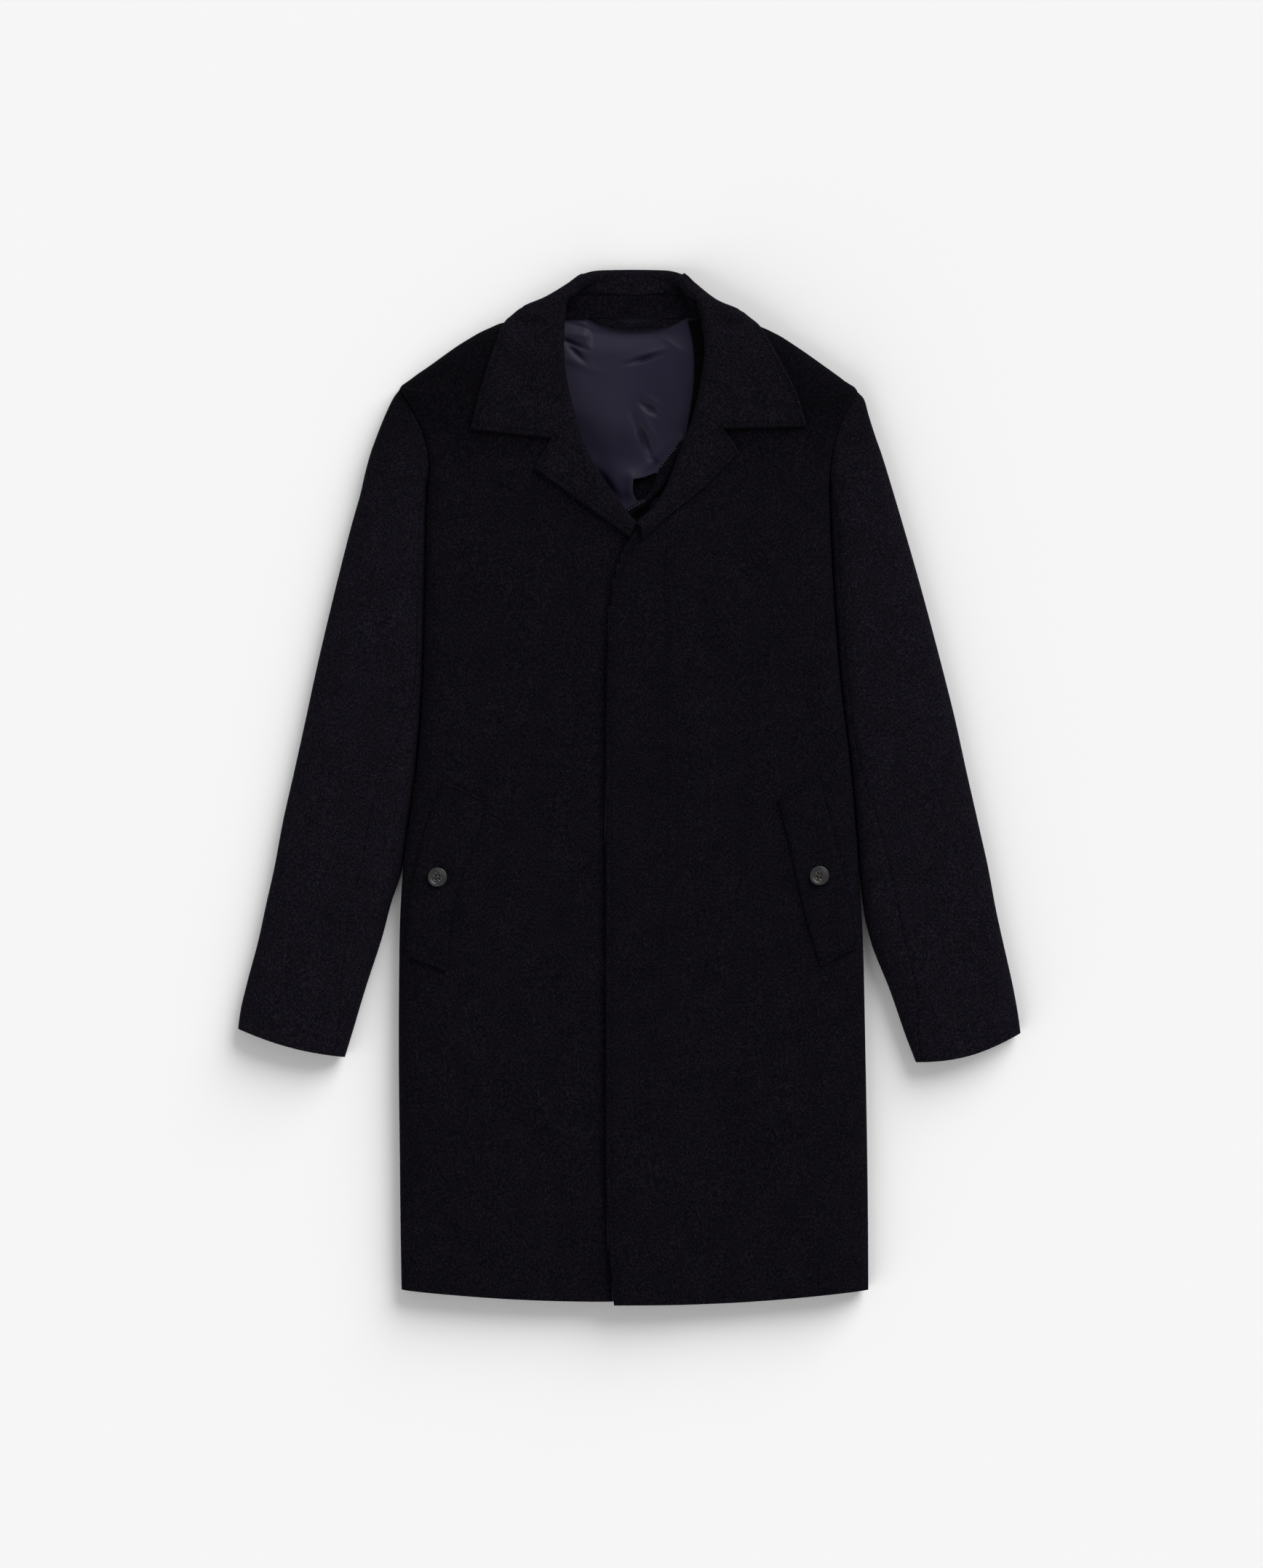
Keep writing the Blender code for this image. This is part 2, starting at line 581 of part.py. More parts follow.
def beside_body(rows, at, outward):
    """The body's outer fold at a fractional row, moved out to where a sleeve lies beside it."""
    step = 0.05
    here, there = [place_of(rows, "side", k) for k in (at, min(at + step, len(rows) - 1))]
    along = unit(there - here)
    normal = np.array([along[1], -along[0]])
    if normal[0] * outward < 0:
        normal = -normal
    return here + normal * BESIDE


def sleeve_keys(side):
    """Rows of a sleeve with inner and outer folds, heights, crown and front seam."""
    rows = FRONT_RIGHT if side == "right" else FRONT_LEFT
    upper = SLEEVE_RIGHT_UPPER if side == "right" else SLEEVE_LEFT_UPPER
    lower = SLEEVE_RIGHT_LOWER if side == "right" else SLEEVE_LEFT_LOWER
    outward = -1.0 if side == "right" else 1.0
    keys = []
    for row in upper:
        inner = beside_body(rows, row.beside, outward)
        keys.append(LowerSleeveRow(*inner, *row[1:]))
    return keys + list(lower)


ARMHOLE_ROWS = 4  # the sleeve is open to the body down to this row
SEAM_CELL = 1.6  # how near the seam the next line of points runs, so both sides bend alike


class Sleeve:
    """Section geometry of one sleeve, shared by its top and under panels."""

    def __init__(self, side):
        self.side = side
        keys = sleeve_keys(side)
        last = len(keys) - 1.0
        coarse = np.arange(SLEEVE_FINE_ROWS, last, SLEEVE_STEP)
        self.at = at = np.concatenate([np.arange(SLEEVE_FINE_ROWS, dtype=float), coarse, [last]])
        self.inner = np.column_stack([column(keys, "inner_x", at), column(keys, "inner_y", at)])
        self.outer = np.column_stack([column(keys, "outer_x", at), column(keys, "outer_y", at)])
        self.fold_z = column(keys, "fold_z", at)
        self.seam = np.maximum(column(keys, "seam", at), 0.6)
        self.bow = CUFF_BOW[side] * np.clip(at - (last - 1.0), 0.0, 1.0)
        dense = np.linspace(0, last, SLEEVE_POINTS)
        inner_fold = np.column_stack(
            [column(keys, name, dense) for name in ("inner_x", "inner_y", "fold_z", "round_w")]
        )
        outer_xy = np.column_stack([column(keys, "outer_x", dense), column(keys, "outer_y", dense)])
        outer_fold = np.column_stack(
            [outer_xy, np.full(len(dense), SLEEVE_OUTER_Z), np.full(len(dense), SLEEVE_OUTER_W)]
        )
        crown_y = column(keys, "inner_y", dense)[::-1]
        crown_z = column(keys, "crown", dense)[::-1]
        self.dome = Dome(
            np.vstack([inner_fold, outer_fold]), lambda x, y: np.interp(y, crown_y, crown_z)
        )

    def top_points(self, row, shares):
        """Outer-face points over the top, at shares of the way from the inner to the outer fold."""
        start, end = self.inner[row], self.outer[row]
        plan = start + (end - start) * np.asarray(shares)[:, None]
        plan[:, 1] -= self.bow[row] * np.sin(np.pi * np.asarray(shares))
        return np.column_stack([plan, self.dome.height(plan[:, 0], plan[:, 1])])

    def top_grid(self):
        """The top sleeve: from the front seam over the outer fold to the elbow seam."""
        grid = []
        for i in range(len(self.at)):
            width = np.linalg.norm(self.outer[i] - self.inner[i])
            start = min((self.seam[i] + SEAM / 2) / width, 0.5)
            beside = min(SEAM_CELL / width, 0.1)
            curve = (1 - np.cos(np.pi * np.linspace(0, 1, SLEEVE_COLUMNS))) / 2
            near = start + beside
            shares = np.concatenate([[start], near + (1 - near) * curve])
            top = self.top_points(i, shares)
            top[-1, 2] = SLEEVE_OUTER_Z
            inward = unit(self.inner[i] - self.outer[i])
            run = min(ELBOW_TURN, width * 0.8)
            under = lower_fold(
                self.outer[i], inward, SLEEVE_OUTER_Z, lambda x, y: 0.0, min(FOLD_REACH, run * 0.9), run
            )
            grid.append(np.vstack([top, under]))
        return np.array(grid)

    def under_grid(self):
        """The under sleeve: from the elbow seam under the arm and round to the front seam."""
        grid = []
        for i in range(len(self.at)):
            width = np.linalg.norm(self.outer[i] - self.inner[i])
            inward = unit(self.inner[i] - self.outer[i])
            run = min(ELBOW_TURN, width * 0.8)
            elbow = self.outer[i] + inward * (run + SEAM)
            armhole = self.at[i] <= ARMHOLE_ROWS
            reach = min(FOLD_REACH, width * 0.15)
            fold = lower_fold(self.inner[i], -inward, self.fold_z[i], lambda x, y: 0.0, reach, reach * 1.1)
            floor_end = self.inner[i] if armhole else np.array(fold[3][:2])
            bottom = [(*(elbow + (floor_end - elbow) * s), 0.0) for s in (0.0, 0.45, 1.0)]
            end = max((self.seam[i] - SEAM / 2) / width, 0.1 / width)
            beside = min(SEAM_CELL / width, 0.3 * end)
            top = self.top_points(i, [0.0, 0.2 * end, 0.5 * end, end - beside, end])
            top[0, 2] = self.fold_z[i]
            grid.append(np.vstack([bottom, fold[1::-1], top]))
        return np.array(grid)


class RollLine:
    """The edge of a front inside its rolled fold, from which the lapel and collar take their core."""

    def __init__(self, grid, first_row, neck_end):
        self.points = np.vstack([grid[first_row:, 0, :2], neck_end])
        self.along = np.gradient(self.points, axis=0)

    def frame(self, x, y, away_from):
        """Core of the roll nearest to a plan point and the direction square to the edge."""
        best = None
        point = np.array([x, y])
        for index, (start, end) in enumerate(zip(self.points[:-1], self.points[1:])):
            span = end - start
            share = float(np.clip(np.dot(point - start, span) / np.dot(span, span), 0.0, 1.0))
            place = start + span * share
            away = np.linalg.norm(point - place)
            if best is None or away < best[0]:
                best = (away, place, self.along[index] * (1 - share) + self.along[index + 1] * share)
        along = unit(best[2])
        square = np.array([along[1], -along[0]])
        if np.dot(square, best[1] - away_from) < 0:
            square = -square
        return best[1] + square * EDGE_IN_ROLL, square


def arc_points(core, outward, core_z, turn):
    """The rolled fold: a half circle from its inner to its outer side, in the section plane."""
    points = []
    for k in range(ROLL_STEPS + 1):
        angle = math.radians(turn) + math.pi / 2 - math.pi * k / ROLL_STEPS
        points.append((*(core + outward * ROLL * math.cos(angle)), core_z + ROLL * math.sin(angle)))
    return points


def lapel_grid(side, roll_line, ground):
    """Outer face of a lapel: facing return, roll and leaf, from the closing to the gorge."""
    rows = LAPEL_RIGHT if side == "right" else LAPEL_LEFT
    at = np.concatenate([np.arange(0, 1, 0.34), np.arange(1, len(rows) - 1, 0.5), [len(rows) - 1.0]])
    grid = []
    for k in at:
        core, outward = roll_line.frame(*place_of(rows, "core", k), OPENING)
        leaf = place_of(rows, "leaf", k, linear_column)
        core_z = float(ground.height(*core)) + LAY + LEAF - ROLL
        back = core + outward * LAPEL_RETURN
        inner = [(*back, core_z - ROLL)]
        roll = arc_points(core, outward, core_z, 180)
        plan = core + (leaf - core) * np.linspace(0, 1, LEAF_STEPS + 1)[1:, None]
        top = np.column_stack([plan, ground.height(plan[:, 0], plan[:, 1]) + LAY + LEAF])
        grid.append(np.vstack([inner, roll, top]))
    return np.array(grid)


def collar_stations():
    """Fine row numbers of the collar, by each row's own number of steps."""
    at = []
    for index, row in enumerate(COLLAR[:-1]):
        at.extend(index + np.arange(row.steps) / row.steps)
    return np.array(at + [len(COLLAR) - 1.0])


def resample(points, count):
    """Points at even distances along a polyline."""
    points = np.asarray(points, float)
    length = np.concatenate([[0.0], np.cumsum(np.linalg.norm(np.diff(points, axis=0), axis=1))])
    marks = np.linspace(0, length[-1], count + 1)
    return np.column_stack([np.interp(marks, length, points[:, axis]) for axis in range(3)])


def leaf_height(ground, x, y):
    """Height of the collar's outer face where it lies on a front, and just past its shoulder."""
    side = "right" if ground is GROUNDS["right"] else "left"
    loose = DOMES[side].height(x, y, outset=ROLL - 1.0)
    return np.maximum(ground.height(x, y), loose) + LAY + LEAF


def cut_path(path, shown, share):
    """The polyline up to its outermost point and a share of what follows it."""
    path = np.asarray(path, float)
    reach = np.linalg.norm(path[:, :2] - path[0, :2], axis=1)
    outermost = int(np.argmax(reach >= min(shown, reach.max()) - LAY))
    kept = max(outermost + 1, int(round(outermost + 1 + share * (len(path) - outermost - 1))))
    return path[:kept]


def hidden_fall(core, side, end, core_z, turn):
    """The fall from the roll's outer side, down behind the neck and flat under the back."""
    outward = unit(side - core)
    reach = np.linalg.norm(side - core)
    angle = math.radians(turn)
    start = (ROLL * math.sin(angle), core_z - ROLL * math.cos(angle))
    if turn > 90.5:
        settled = smooth_step((turn - 90.0) / 60.0)
        side_z = settled * (FRONT_RIGHT[-1].fold_z + LAY + LEAF) + (1 - settled) * core_z
        swing = np.linspace(0, 1, 15) * math.pi / 2
        run = start[0] + (reach - start[0]) * np.sin(swing) ** SWEEP
        drop = side_z + (start[1] - side_z) * np.cos(swing) ** SWEEP
        path = [(*(core + outward * n), z) for n, z in zip(run, drop)]
        heading = (0.0, -1.0)
    else:
        path = [(*(core + outward * start[0]), start[1])]
        side_z = start[1]
        heading = (math.cos(angle), -math.sin(angle))
    below = np.array(path[-1][:2])
    inward = unit(end - below)
    total = np.linalg.norm(end - below)
    depth = min(FOLD_REACH, 0.6 * side_z + 2.0)
    hold = 0.55 * side_z
    for t in np.linspace(0, 1, 12)[1:]:
        along = 3 * t * (1 - t) ** 2 * heading[0] * hold + (3 * t * t * (1 - t) * 0.45 + t**3) * depth
        height = (1 - t) ** 3 * side_z + 3 * t * (1 - t) ** 2 * (side_z + heading[1] * hold)
        if along <= total:
            path.append((*(below + inward * along), max(height, 0.0)))
    if total > depth:
        path.append((*end, 0.0))
    return path


def collar_grid(roll_lines, grounds):
    """Outer face of the collar: inner side, roll and fall, from notch to notch round the neck."""
    last = len(COLLAR) - 1
    heights = [row.core_z for row in COLLAR]
    for index, side_name in ((LEAF_ROWS, "right"), (last - LEAF_ROWS, "left")):
        core, _ = roll_lines[side_name].frame(COLLAR[index].core_x, COLLAR[index].core_y, OPENING)
        heights[index] = float(grounds[side_name].height(*core)) + LAY + LEAF - ROLL
    grid = []
    for k in collar_stations():
        on_leaf = k <= LEAF_ROWS or k >= last - LEAF_ROWS
        side_name = "right" if k < last / 2 else "left"
        pick = linear_column if on_leaf else column
        core = place_of(COLLAR, "core", k)
        side = place_of(COLLAR, "side", k, pick)
        end = side if on_leaf else place_of(COLLAR, "end", k)
        turn = float(column(COLLAR, "turn", k))
        outward = unit(side - core)
        if on_leaf:
            core, outward = roll_lines[side_name].frame(*core, OPENING)
            core_z = float(grounds[side_name].height(*core)) + LAY + LEAF - ROLL
        else:
            core_z = float(through(heights, k))
        angle = math.radians(turn)
        inner_start = core - outward * ROLL * math.sin(angle)
        inner_z = core_z + ROLL * math.cos(angle)
        inner = float(column(COLLAR, "inner", k))
        inner_points = [
            (*(inner_start - outward * inner * s * math.cos(angle)), inner_z - inner * s * math.sin(angle))
            for s in (1.0, 0.5)
        ]
        roll = arc_points(core, outward, core_z, turn)
        if on_leaf:
            plan = core + (side - core) * np.linspace(0, 1, 15)[:, None]
            path = np.column_stack([plan, leaf_height(grounds[side_name], plan[:, 0], plan[:, 1])])
            path[0, 2] = core_z + ROLL
        else:
            path = hidden_fall(core, side, end, core_z, turn)
            rows_past = min(k - LEAF_ROWS, last - LEAF_ROWS - k)
            path = cut_path(path, np.linalg.norm(side - core), min(rows_past, 1.0) ** 2)
        grid.append(np.vstack([inner_points, roll, resample(path, LEAF_STEPS)[1:]]))
    return np.array(grid)


# ---------------------------------------------------------------- the pieces

def make_fronts(cloth, collection):
    """Both fronts; keeps their faces and edges for what lies on them."""
    grids = {}
    for side, rows in (("right", FRONT_RIGHT), ("left", FRONT_LEFT)):
        at, grid = front_grid(side, rows)
        top_cells = grid.shape[1] - 1 - 4

        def keep(i, j, at=at, top_cells=top_cells):
            return j < top_cells or (wrapped(at[i]) and wrapped(at[i + 1]))

        grids[side] = (at, grid)
        GROUNDS[side] = Ground(grid[:, : top_cells + 1], lambda x, y, side=side: front_top(side, x, y))
        ROLL_LINES[side] = RollLine(grid, FIRST_ROLL_POINT, NECK_END[side])
        shell_object(f"front_{side}", grid, SHELL, cloth, collection, side == "right", keep)
    return grids


def make_back(grids, cloth, collection):
    """The back: one flat panel between the seams of both fronts, over the collar at the neck."""
    at, right = grids["right"]
    left = grids["left"][1]
    shares = np.linspace(0, 1, BACK_COLUMNS)
    rows = []
    for i, k in enumerate(at):
        ends = []
        for grid in (right, left):
            seam = grid[i, -1, :2] if wrapped(k) else grid[i, -5, :2]
            inward = unit(grid[i, 0, :2] - seam)
            ends.append(seam + inward * SEAM)
        plan = ends[0] + (ends[1] - ends[0]) * shares[:, None]
        plan[:, 1] -= HEM_BOW * max(0.0, 1.0 - k) * np.sin(np.pi * shares)
        rows.append(np.column_stack([plan, back_rise(plan[:, 0], plan[:, 1])]))
    shell_object("back", np.array(rows), SHELL, cloth, collection, flip=True)


def make_sleeves(cloth, collection):
    """Top and under sleeves."""
    for side in ("right", "left"):
        sleeve = Sleeve(side)
        flip = side == "left"

        def keep(i, j, at=sleeve.at):
            return j < 2 or at[i] >= ARMHOLE_ROWS + 1

        shell_object(f"top_sleeve_{side}", sleeve.top_grid(), SHELL, cloth, collection, flip)
        shell_object(f"under_sleeve_{side}", sleeve.under_grid(), SHELL, cloth, collection, flip, keep)


def make_lapels(cloth, collection):
    """The facings folded over the roll lines."""
    for side in ("right", "left"):

        def keep(i, j, open_rows=OPEN_ROWS[side]):
            return i >= open_rows or j >= 4

        grid = lapel_grid(side, ROLL_LINES[side], GROUNDS[side])
        shell_object(f"lapel_{side}", grid, LEAF, cloth, collection, side == "right", keep)


def make_collar(cloth, collection):
    """The collar leaf and the stand inside the back neck."""
    shell_object("collar_fall", collar_grid(ROLL_LINES, GROUNDS), LEAF, cloth, collection, flip=True)
    rows = []
    for share in np.linspace(0, 1, 4):
        y = STAND_LOW_Y + (STAND_HIGH_Y - STAND_LOW_Y) * share
        z = STAND_LOW_Z + (STAND_HIGH_Z - STAND_LOW_Z) * share
        narrow = STAND_TAPER * share
        rows.append([(x, y, z) for x in np.linspace(STAND_LEFT_X + narrow, STAND_RIGHT_X - narrow, 9)])
    shell_object("collar_stand", np.array(rows), SHELL, cloth, collection)


def surface_normals(grid):
    """Unit normals of a grid of points, by central differences, pointing up."""
    along = np.gradient(grid, axis=0)
    across = np.gradient(grid, axis=1)
    normals = np.cross(along, across)
    normals /= np.linalg.norm(normals, axis=2, keepdims=True)
    return np.where(normals[..., 2:] < 0, -normals, normals)


def welt_grid(side):
    """Outer face of a welt: the front's own points moved out by the gap and the welt's wall."""
    rows = WELT_RIGHT if side == "right" else WELT_LEFT
    at = np.linspace(0, len(rows) - 1, 11)
    shares = np.linspace(0, 1, 7)
    grid = []
    for k in at:
        outer, inner = place_of(rows, "outer", k), place_of(rows, "inner", k)
        plan = outer + (inner - outer) * shares[:, None]
        grid.append(np.column_stack([plan, GROUNDS[side].height(plan[:, 0], plan[:, 1])]))
    grid = np.array(grid)
    return grid + surface_normals(grid) * (LAY + WELT_WALL)


def make_welts(cloth, collection):
    """The pocket welts on the fronts; returns their outer faces."""
    grids = {}
    for side in ("right", "left"):
        grids[side] = welt_grid(side)
        shell_object(f"pocket_welt_{side}", grids[side], WELT_WALL, cloth, collection, side == "right")
    return grids


def button_profile():
    """Half section of a button from the axis round its rim and back, millimetres."""
    radius, thick = BUTTON_RADIUS, BUTTON_THICKNESS
    return [
        (0.0, thick - BUTTON_DISH),
        (radius - BUTTON_RIM - 0.9, thick - BUTTON_DISH),
        (radius - BUTTON_RIM, thick),
        (radius - 0.7, thick),
        (radius, thick - 0.8),
        (radius, 0.9),
        (radius - 0.9, 0.0),
        (0.0, 0.0),
    ]


def make_button(side, welt, horn, parts, cutters):
    """A four-hole button that lies on its welt."""
    x, y = BUTTON_AT[side]
    distance = np.hypot(welt[..., 0] - x, welt[..., 1] - y)
    i, j = np.unravel_index(distance.argmin(), distance.shape)
    normal = Vector(surface_normals(welt)[i, j])
    slope = -normal.x / normal.z, -normal.y / normal.z
    height = welt[i, j, 2] + slope[0] * (x - welt[i, j, 0]) + slope[1] * (y - welt[i, j, 1])

    mesh = bpy.data.meshes.new(f"button_{side}")
    profile = [(radius * MM, 0.0, z * MM) for radius, z in button_profile()]
    mesh.from_pydata(profile, [(k, k + 1) for k in range(len(profile) - 1)], [])
    button = add_object(f"button_{side}", mesh, horn, parts)
    screw = button.modifiers.new("turned", "SCREW")
    screw.axis = "Z"
    screw.steps = screw.render_steps = 24
    screw.use_merge_vertices = True
    screw.merge_threshold = 0.00002
    screw.use_normal_calculate = True

    holes = bmesh.new()
    bit = {"cap_ends": True, "segments": 10, "depth": 0.01}
    for sx in (-0.5, 0.5):
        for sy in (-0.5, 0.5):
            drilled = bmesh.ops.create_cone(holes, radius1=HOLE_RADIUS * MM, radius2=HOLE_RADIUS * MM, **bit)
            shift = Vector((sx * HOLE_PITCH * MM, sy * HOLE_PITCH * MM, 0.0))
            bmesh.ops.translate(holes, verts=drilled["verts"], vec=shift)
    cutter_mesh = bpy.data.meshes.new(f"holes_{side}")
    holes.to_mesh(cutter_mesh)
    holes.free()
    cutter = bpy.data.objects.new(f"holes_{side}", cutter_mesh)
    cutter.hide_render = True
    cutter.display_type = "WIRE"
    cutters.objects.link(cutter)
    cutter.parent = button
    cut = button.modifiers.new("holes", "BOOLEAN")
    cut.operation = "DIFFERENCE"
    cut.object = cutter

    button.rotation_euler = normal.to_track_quat("Z", "Y").to_euler()
    button.location = (Vector((x, y, height)) + normal * SEAM * 1.5) * MM


def make_hanger_loop(cloth, collection):
    """The loop that hangs from the neck seam over the lining."""
    at = np.linspace(0, len(HANGER_LOOP) - 1, 13)
    x, y = column(HANGER_LOOP, "x", at), column(HANGER_LOOP, "y", at)
    lift = column(HANGER_LOOP, "lift", at)
    along = np.column_stack([np.gradient(x), np.gradient(y)])
    along /= np.linalg.norm(along, axis=1, keepdims=True)
    rows = []
    for offset in (-0.5, 0.0, 0.5):
        px = x + along[:, 1] * HANGER_WIDTH * offset
        py = y - along[:, 0] * HANGER_WIDTH * offset
        base = back_rise(px, py) + SHELL + LAY + LINING + LAY
        rows.append(np.column_stack([px, py, base + HANGER_WALL + lift + 0.4 * (1 - abs(2 * offset))]))
    shell_object("hanger_loop", np.array(rows)[::-1], HANGER_WALL, cloth, collection)


def make_lining(satin, collection):
    """The lining inside the neck, loose on the back."""
    rows = []
    for y in np.linspace(LINING_LOW_Y, LINING_HIGH_Y, 15):
        narrow = LINING_TAPER * smooth_step((y - 435.0) / 30.0)
        xs = np.linspace(LINING_LEFT_X + narrow, LINING_RIGHT_X - narrow, 12)
        loose = smooth_step((LINING_HIGH_Y - 14.0 - y) / 20.0)
        relief = np.maximum(fold_relief(LINING_FOLDS, xs, y), 0.0) * loose
        height = back_rise(xs, y) + SHELL + LAY + LINING + relief
        rows.append(np.column_stack([xs, np.full_like(xs, y), height]))
    shell_object("back_lining", np.array(rows), LINING, satin, collection)


def main():
    """Build the coat."""
    clear_scene()
    parts = make_collection("wool_overcoat")
    cutters = make_collection("cutters")
    cloth = make_material(*NAVY_WOOL)
    satin = make_material(*NAVY_SATIN)
    horn = make_material(*DARK_HORN)
    grids = make_fronts(cloth, parts)
    make_back(grids, cloth, parts)
    make_sleeves(cloth, parts)
    make_lapels(cloth, parts)
    make_collar(cloth, parts)
    welts = make_welts(cloth, parts)
    for side in ("right", "left"):
        make_button(side, welts[side], horn, parts, cutters)
    make_hanger_loop(cloth, parts)
    make_lining(satin, parts)


main()
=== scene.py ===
"""Wool overcoat laid out on its back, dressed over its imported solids.

The coat lies on the floor, collar toward +Y and fronts up, so the wearer's right is at -X. Tables
and section sizes are in millimetres; every mesh is written in metres in the frame of the solids.
"""

import logging
import math
from dataclasses import dataclass, field
from enum import Enum
from functools import partial
from typing import Callable, NamedTuple, Sequence

import bmesh
import bpy
import numpy as np
from bpy.types import Material, Mesh, Node, NodeSocket, NodeTree, Object
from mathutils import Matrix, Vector
from mathutils.bvhtree import BVHTree


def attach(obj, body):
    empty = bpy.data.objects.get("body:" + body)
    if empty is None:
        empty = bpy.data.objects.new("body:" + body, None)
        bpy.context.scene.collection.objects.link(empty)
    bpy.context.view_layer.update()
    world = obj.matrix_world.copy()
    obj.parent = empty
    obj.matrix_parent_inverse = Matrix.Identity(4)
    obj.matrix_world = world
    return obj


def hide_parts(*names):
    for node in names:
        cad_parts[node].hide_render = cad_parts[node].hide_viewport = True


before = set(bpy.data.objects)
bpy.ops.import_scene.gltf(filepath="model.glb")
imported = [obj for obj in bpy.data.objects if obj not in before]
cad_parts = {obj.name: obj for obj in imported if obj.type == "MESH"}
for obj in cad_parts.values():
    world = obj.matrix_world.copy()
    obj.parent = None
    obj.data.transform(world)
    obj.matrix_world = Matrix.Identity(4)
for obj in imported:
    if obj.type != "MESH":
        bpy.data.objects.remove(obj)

Array = np.ndarray
HeightAt = Callable[[Array, Array], Array]

LOG = logging.getLogger("overcoat")
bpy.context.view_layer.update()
MM = 0.001
FAR = 999.0  # distance that stands for "no seam near"
SHARP = math.radians(55.0)
PAINTED_LIGHT = {  # painted light and shade: how much lighter or darker the wool is drawn on each part of the coat
    "shoulder": 0.58,
    "sleeve_head": 0.85,
    "sleeve": 1.42,
    "collar": 1.2,
    "stand": 0.86,
    "shaded": 0.4,
}
PAINTED_LIGHT_DARKENS = (300.0, 100.0)  # painted shade: Y from which the fronts are drawn darker toward the shoulder, and over how far
PAINTED_LIGHT_LIGHTENS = (410.0, 130.0)  # painted light: the same for the sleeves, drawn lighter down from their heads

SHELL = 3.0  # wall of a panel
LEAF = 4.0  # wall of the lapels and the collar, which are doubled cloth
SATIN_WALL = 1.0
SEAM = 0.4  # between two panels at a seam
LAY = 0.8  # between a piece and what it lies on
ROLL = 6.5  # outer radius of a rolled fold
BESIDE = 0.35  # between a sleeve and the body
TURN_UNDER = 20.0
ELBOW_TURN = 14.0
FOLD_REACH = 12.0
TURN_STEPS = 9  # points of the rounding of a lower fold
ARC_STEPS = 16  # steps of a rolled fold
EDGE_POWER = 2.2  # roundness of a shell's shoulders
EDGE_STITCH = 4.6  # from a finished edge to its row of stitches
EDGE_ROUND = 1.5  # radius of a finished edge
EDGE_FULL = 0.3  # how far the cloth swells between an edge and its stitches
EDGE_FULL_WIDTH = 1.8
CHANNEL = 0.4  # how deep a row of stitches sinks
CHANNEL_WIDTH = 1.1
STAND_TOP = 13.0  # height of the collar where it turns down inside the neck
NEAR_EDGE = (9.0, 6.6, 5.2, 4.2, 3.2, 2.3, 1.5, 0.9, 0.4, 0.0)  # fine stations before an edge
EDGE_PART = 0.4  # largest share of a length that the fine stations take
INNER_POINTS = 4  # points across a lapel or the collar before its roll
NECK = (5.0, 500.0)
NECK_RISE = (125.0, 170.0)
OPENING = np.array([5.0, 420.0])  # a point inside the neck opening
OVERLAP_X = (45.0, 55.0)  # where the lift of the over front begins to fade, and over how far
OVERLAP_Y = (265.0, 60.0)
CLOSING = (4.0, 256.0)  # where the end of the under lapel lifts the over front
CLOSING_RISE = 3.4
CLOSING_SPREAD = 22.0
CLOSING_ROW = 10.5  # row of the over front's table where the closing ends
BUTTONHOLE_HALF = 0.75
LINE_STEP = 0.8  # between the points of a line that is sewn


class Side(Enum):
    """A side of the wearer."""

    RIGHT = "right"
    LEFT = "left"

    @property
    def outward(self) -> float:
        """Sign of X away from the middle of the coat."""
        return -1.0 if self is Side.RIGHT else 1.0


class FrontRow(NamedTuple):
    """One section of a front, from its inner edge to its side fold."""

    edge_x: float
    edge_y: float
    side_x: float
    side_y: float
    fold_z: float
    round_w: float


class CrownRow(NamedTuple):
    """Full height of the fronts at a place along the coat."""

    y: float
    height: float


class FoldRow(NamedTuple):
    """A soft ridge (rise > 0) or trough that runs along `lean` degrees from +Y."""

    x: float
    y: float
    half_length: float
    half_width: float
    rise: float
    lean: float


class UpperSleeveRow(NamedTuple):
    """One section of a sleeve where it lies beside the body."""

    beside: float
    outer_x: float
    outer_y: float
    fold_z: float
    round_w: float
    crown: float
    seam: float


class SleeveRow(NamedTuple):
    """One section of a sleeve with its inner and outer folds."""

    inner_x: float
    inner_y: float
    outer_x: float
    outer_y: float
    fold_z: float
    round_w: float
    crown: float
    seam: float


class LapelRow(NamedTuple):
    """The core of a lapel's roll and the outer edge of its leaf."""

    core_x: float
    core_y: float
    leaf_x: float
    leaf_y: float


class CollarRow(NamedTuple):
    """One section of the collar, from its roll to the edge of its fall."""

    core_x: float
    core_y: float
    side_x: float
    side_y: float
    end_x: float
    end_y: float
    turn: float
    core_z: float
    inner: float


class BandRow(NamedTuple):
    """A point of a narrow piece's outer edge and one of its inner edge."""

    outer_x: float
    outer_y: float
    inner_x: float
    inner_y: float


class LoopRow(NamedTuple):
    """A point of the hanger loop and its lift off the lining."""

    x: float
    y: float
    lift: float


class FacingRow(NamedTuple):
    """One section of the facing inside the opening: under the lining, seam, fold, under the roll."""

    tuck_x: float
    tuck_y: float
    seam_x: float
    seam_y: float
    fold_x: float
    fold_y: float
    far_x: float
    far_y: float


def table(kind: type, *rows: tuple) -> tuple:
    """Rows of a table, with their columns named by the kind of row."""
    return tuple(kind(*row) for row in rows)


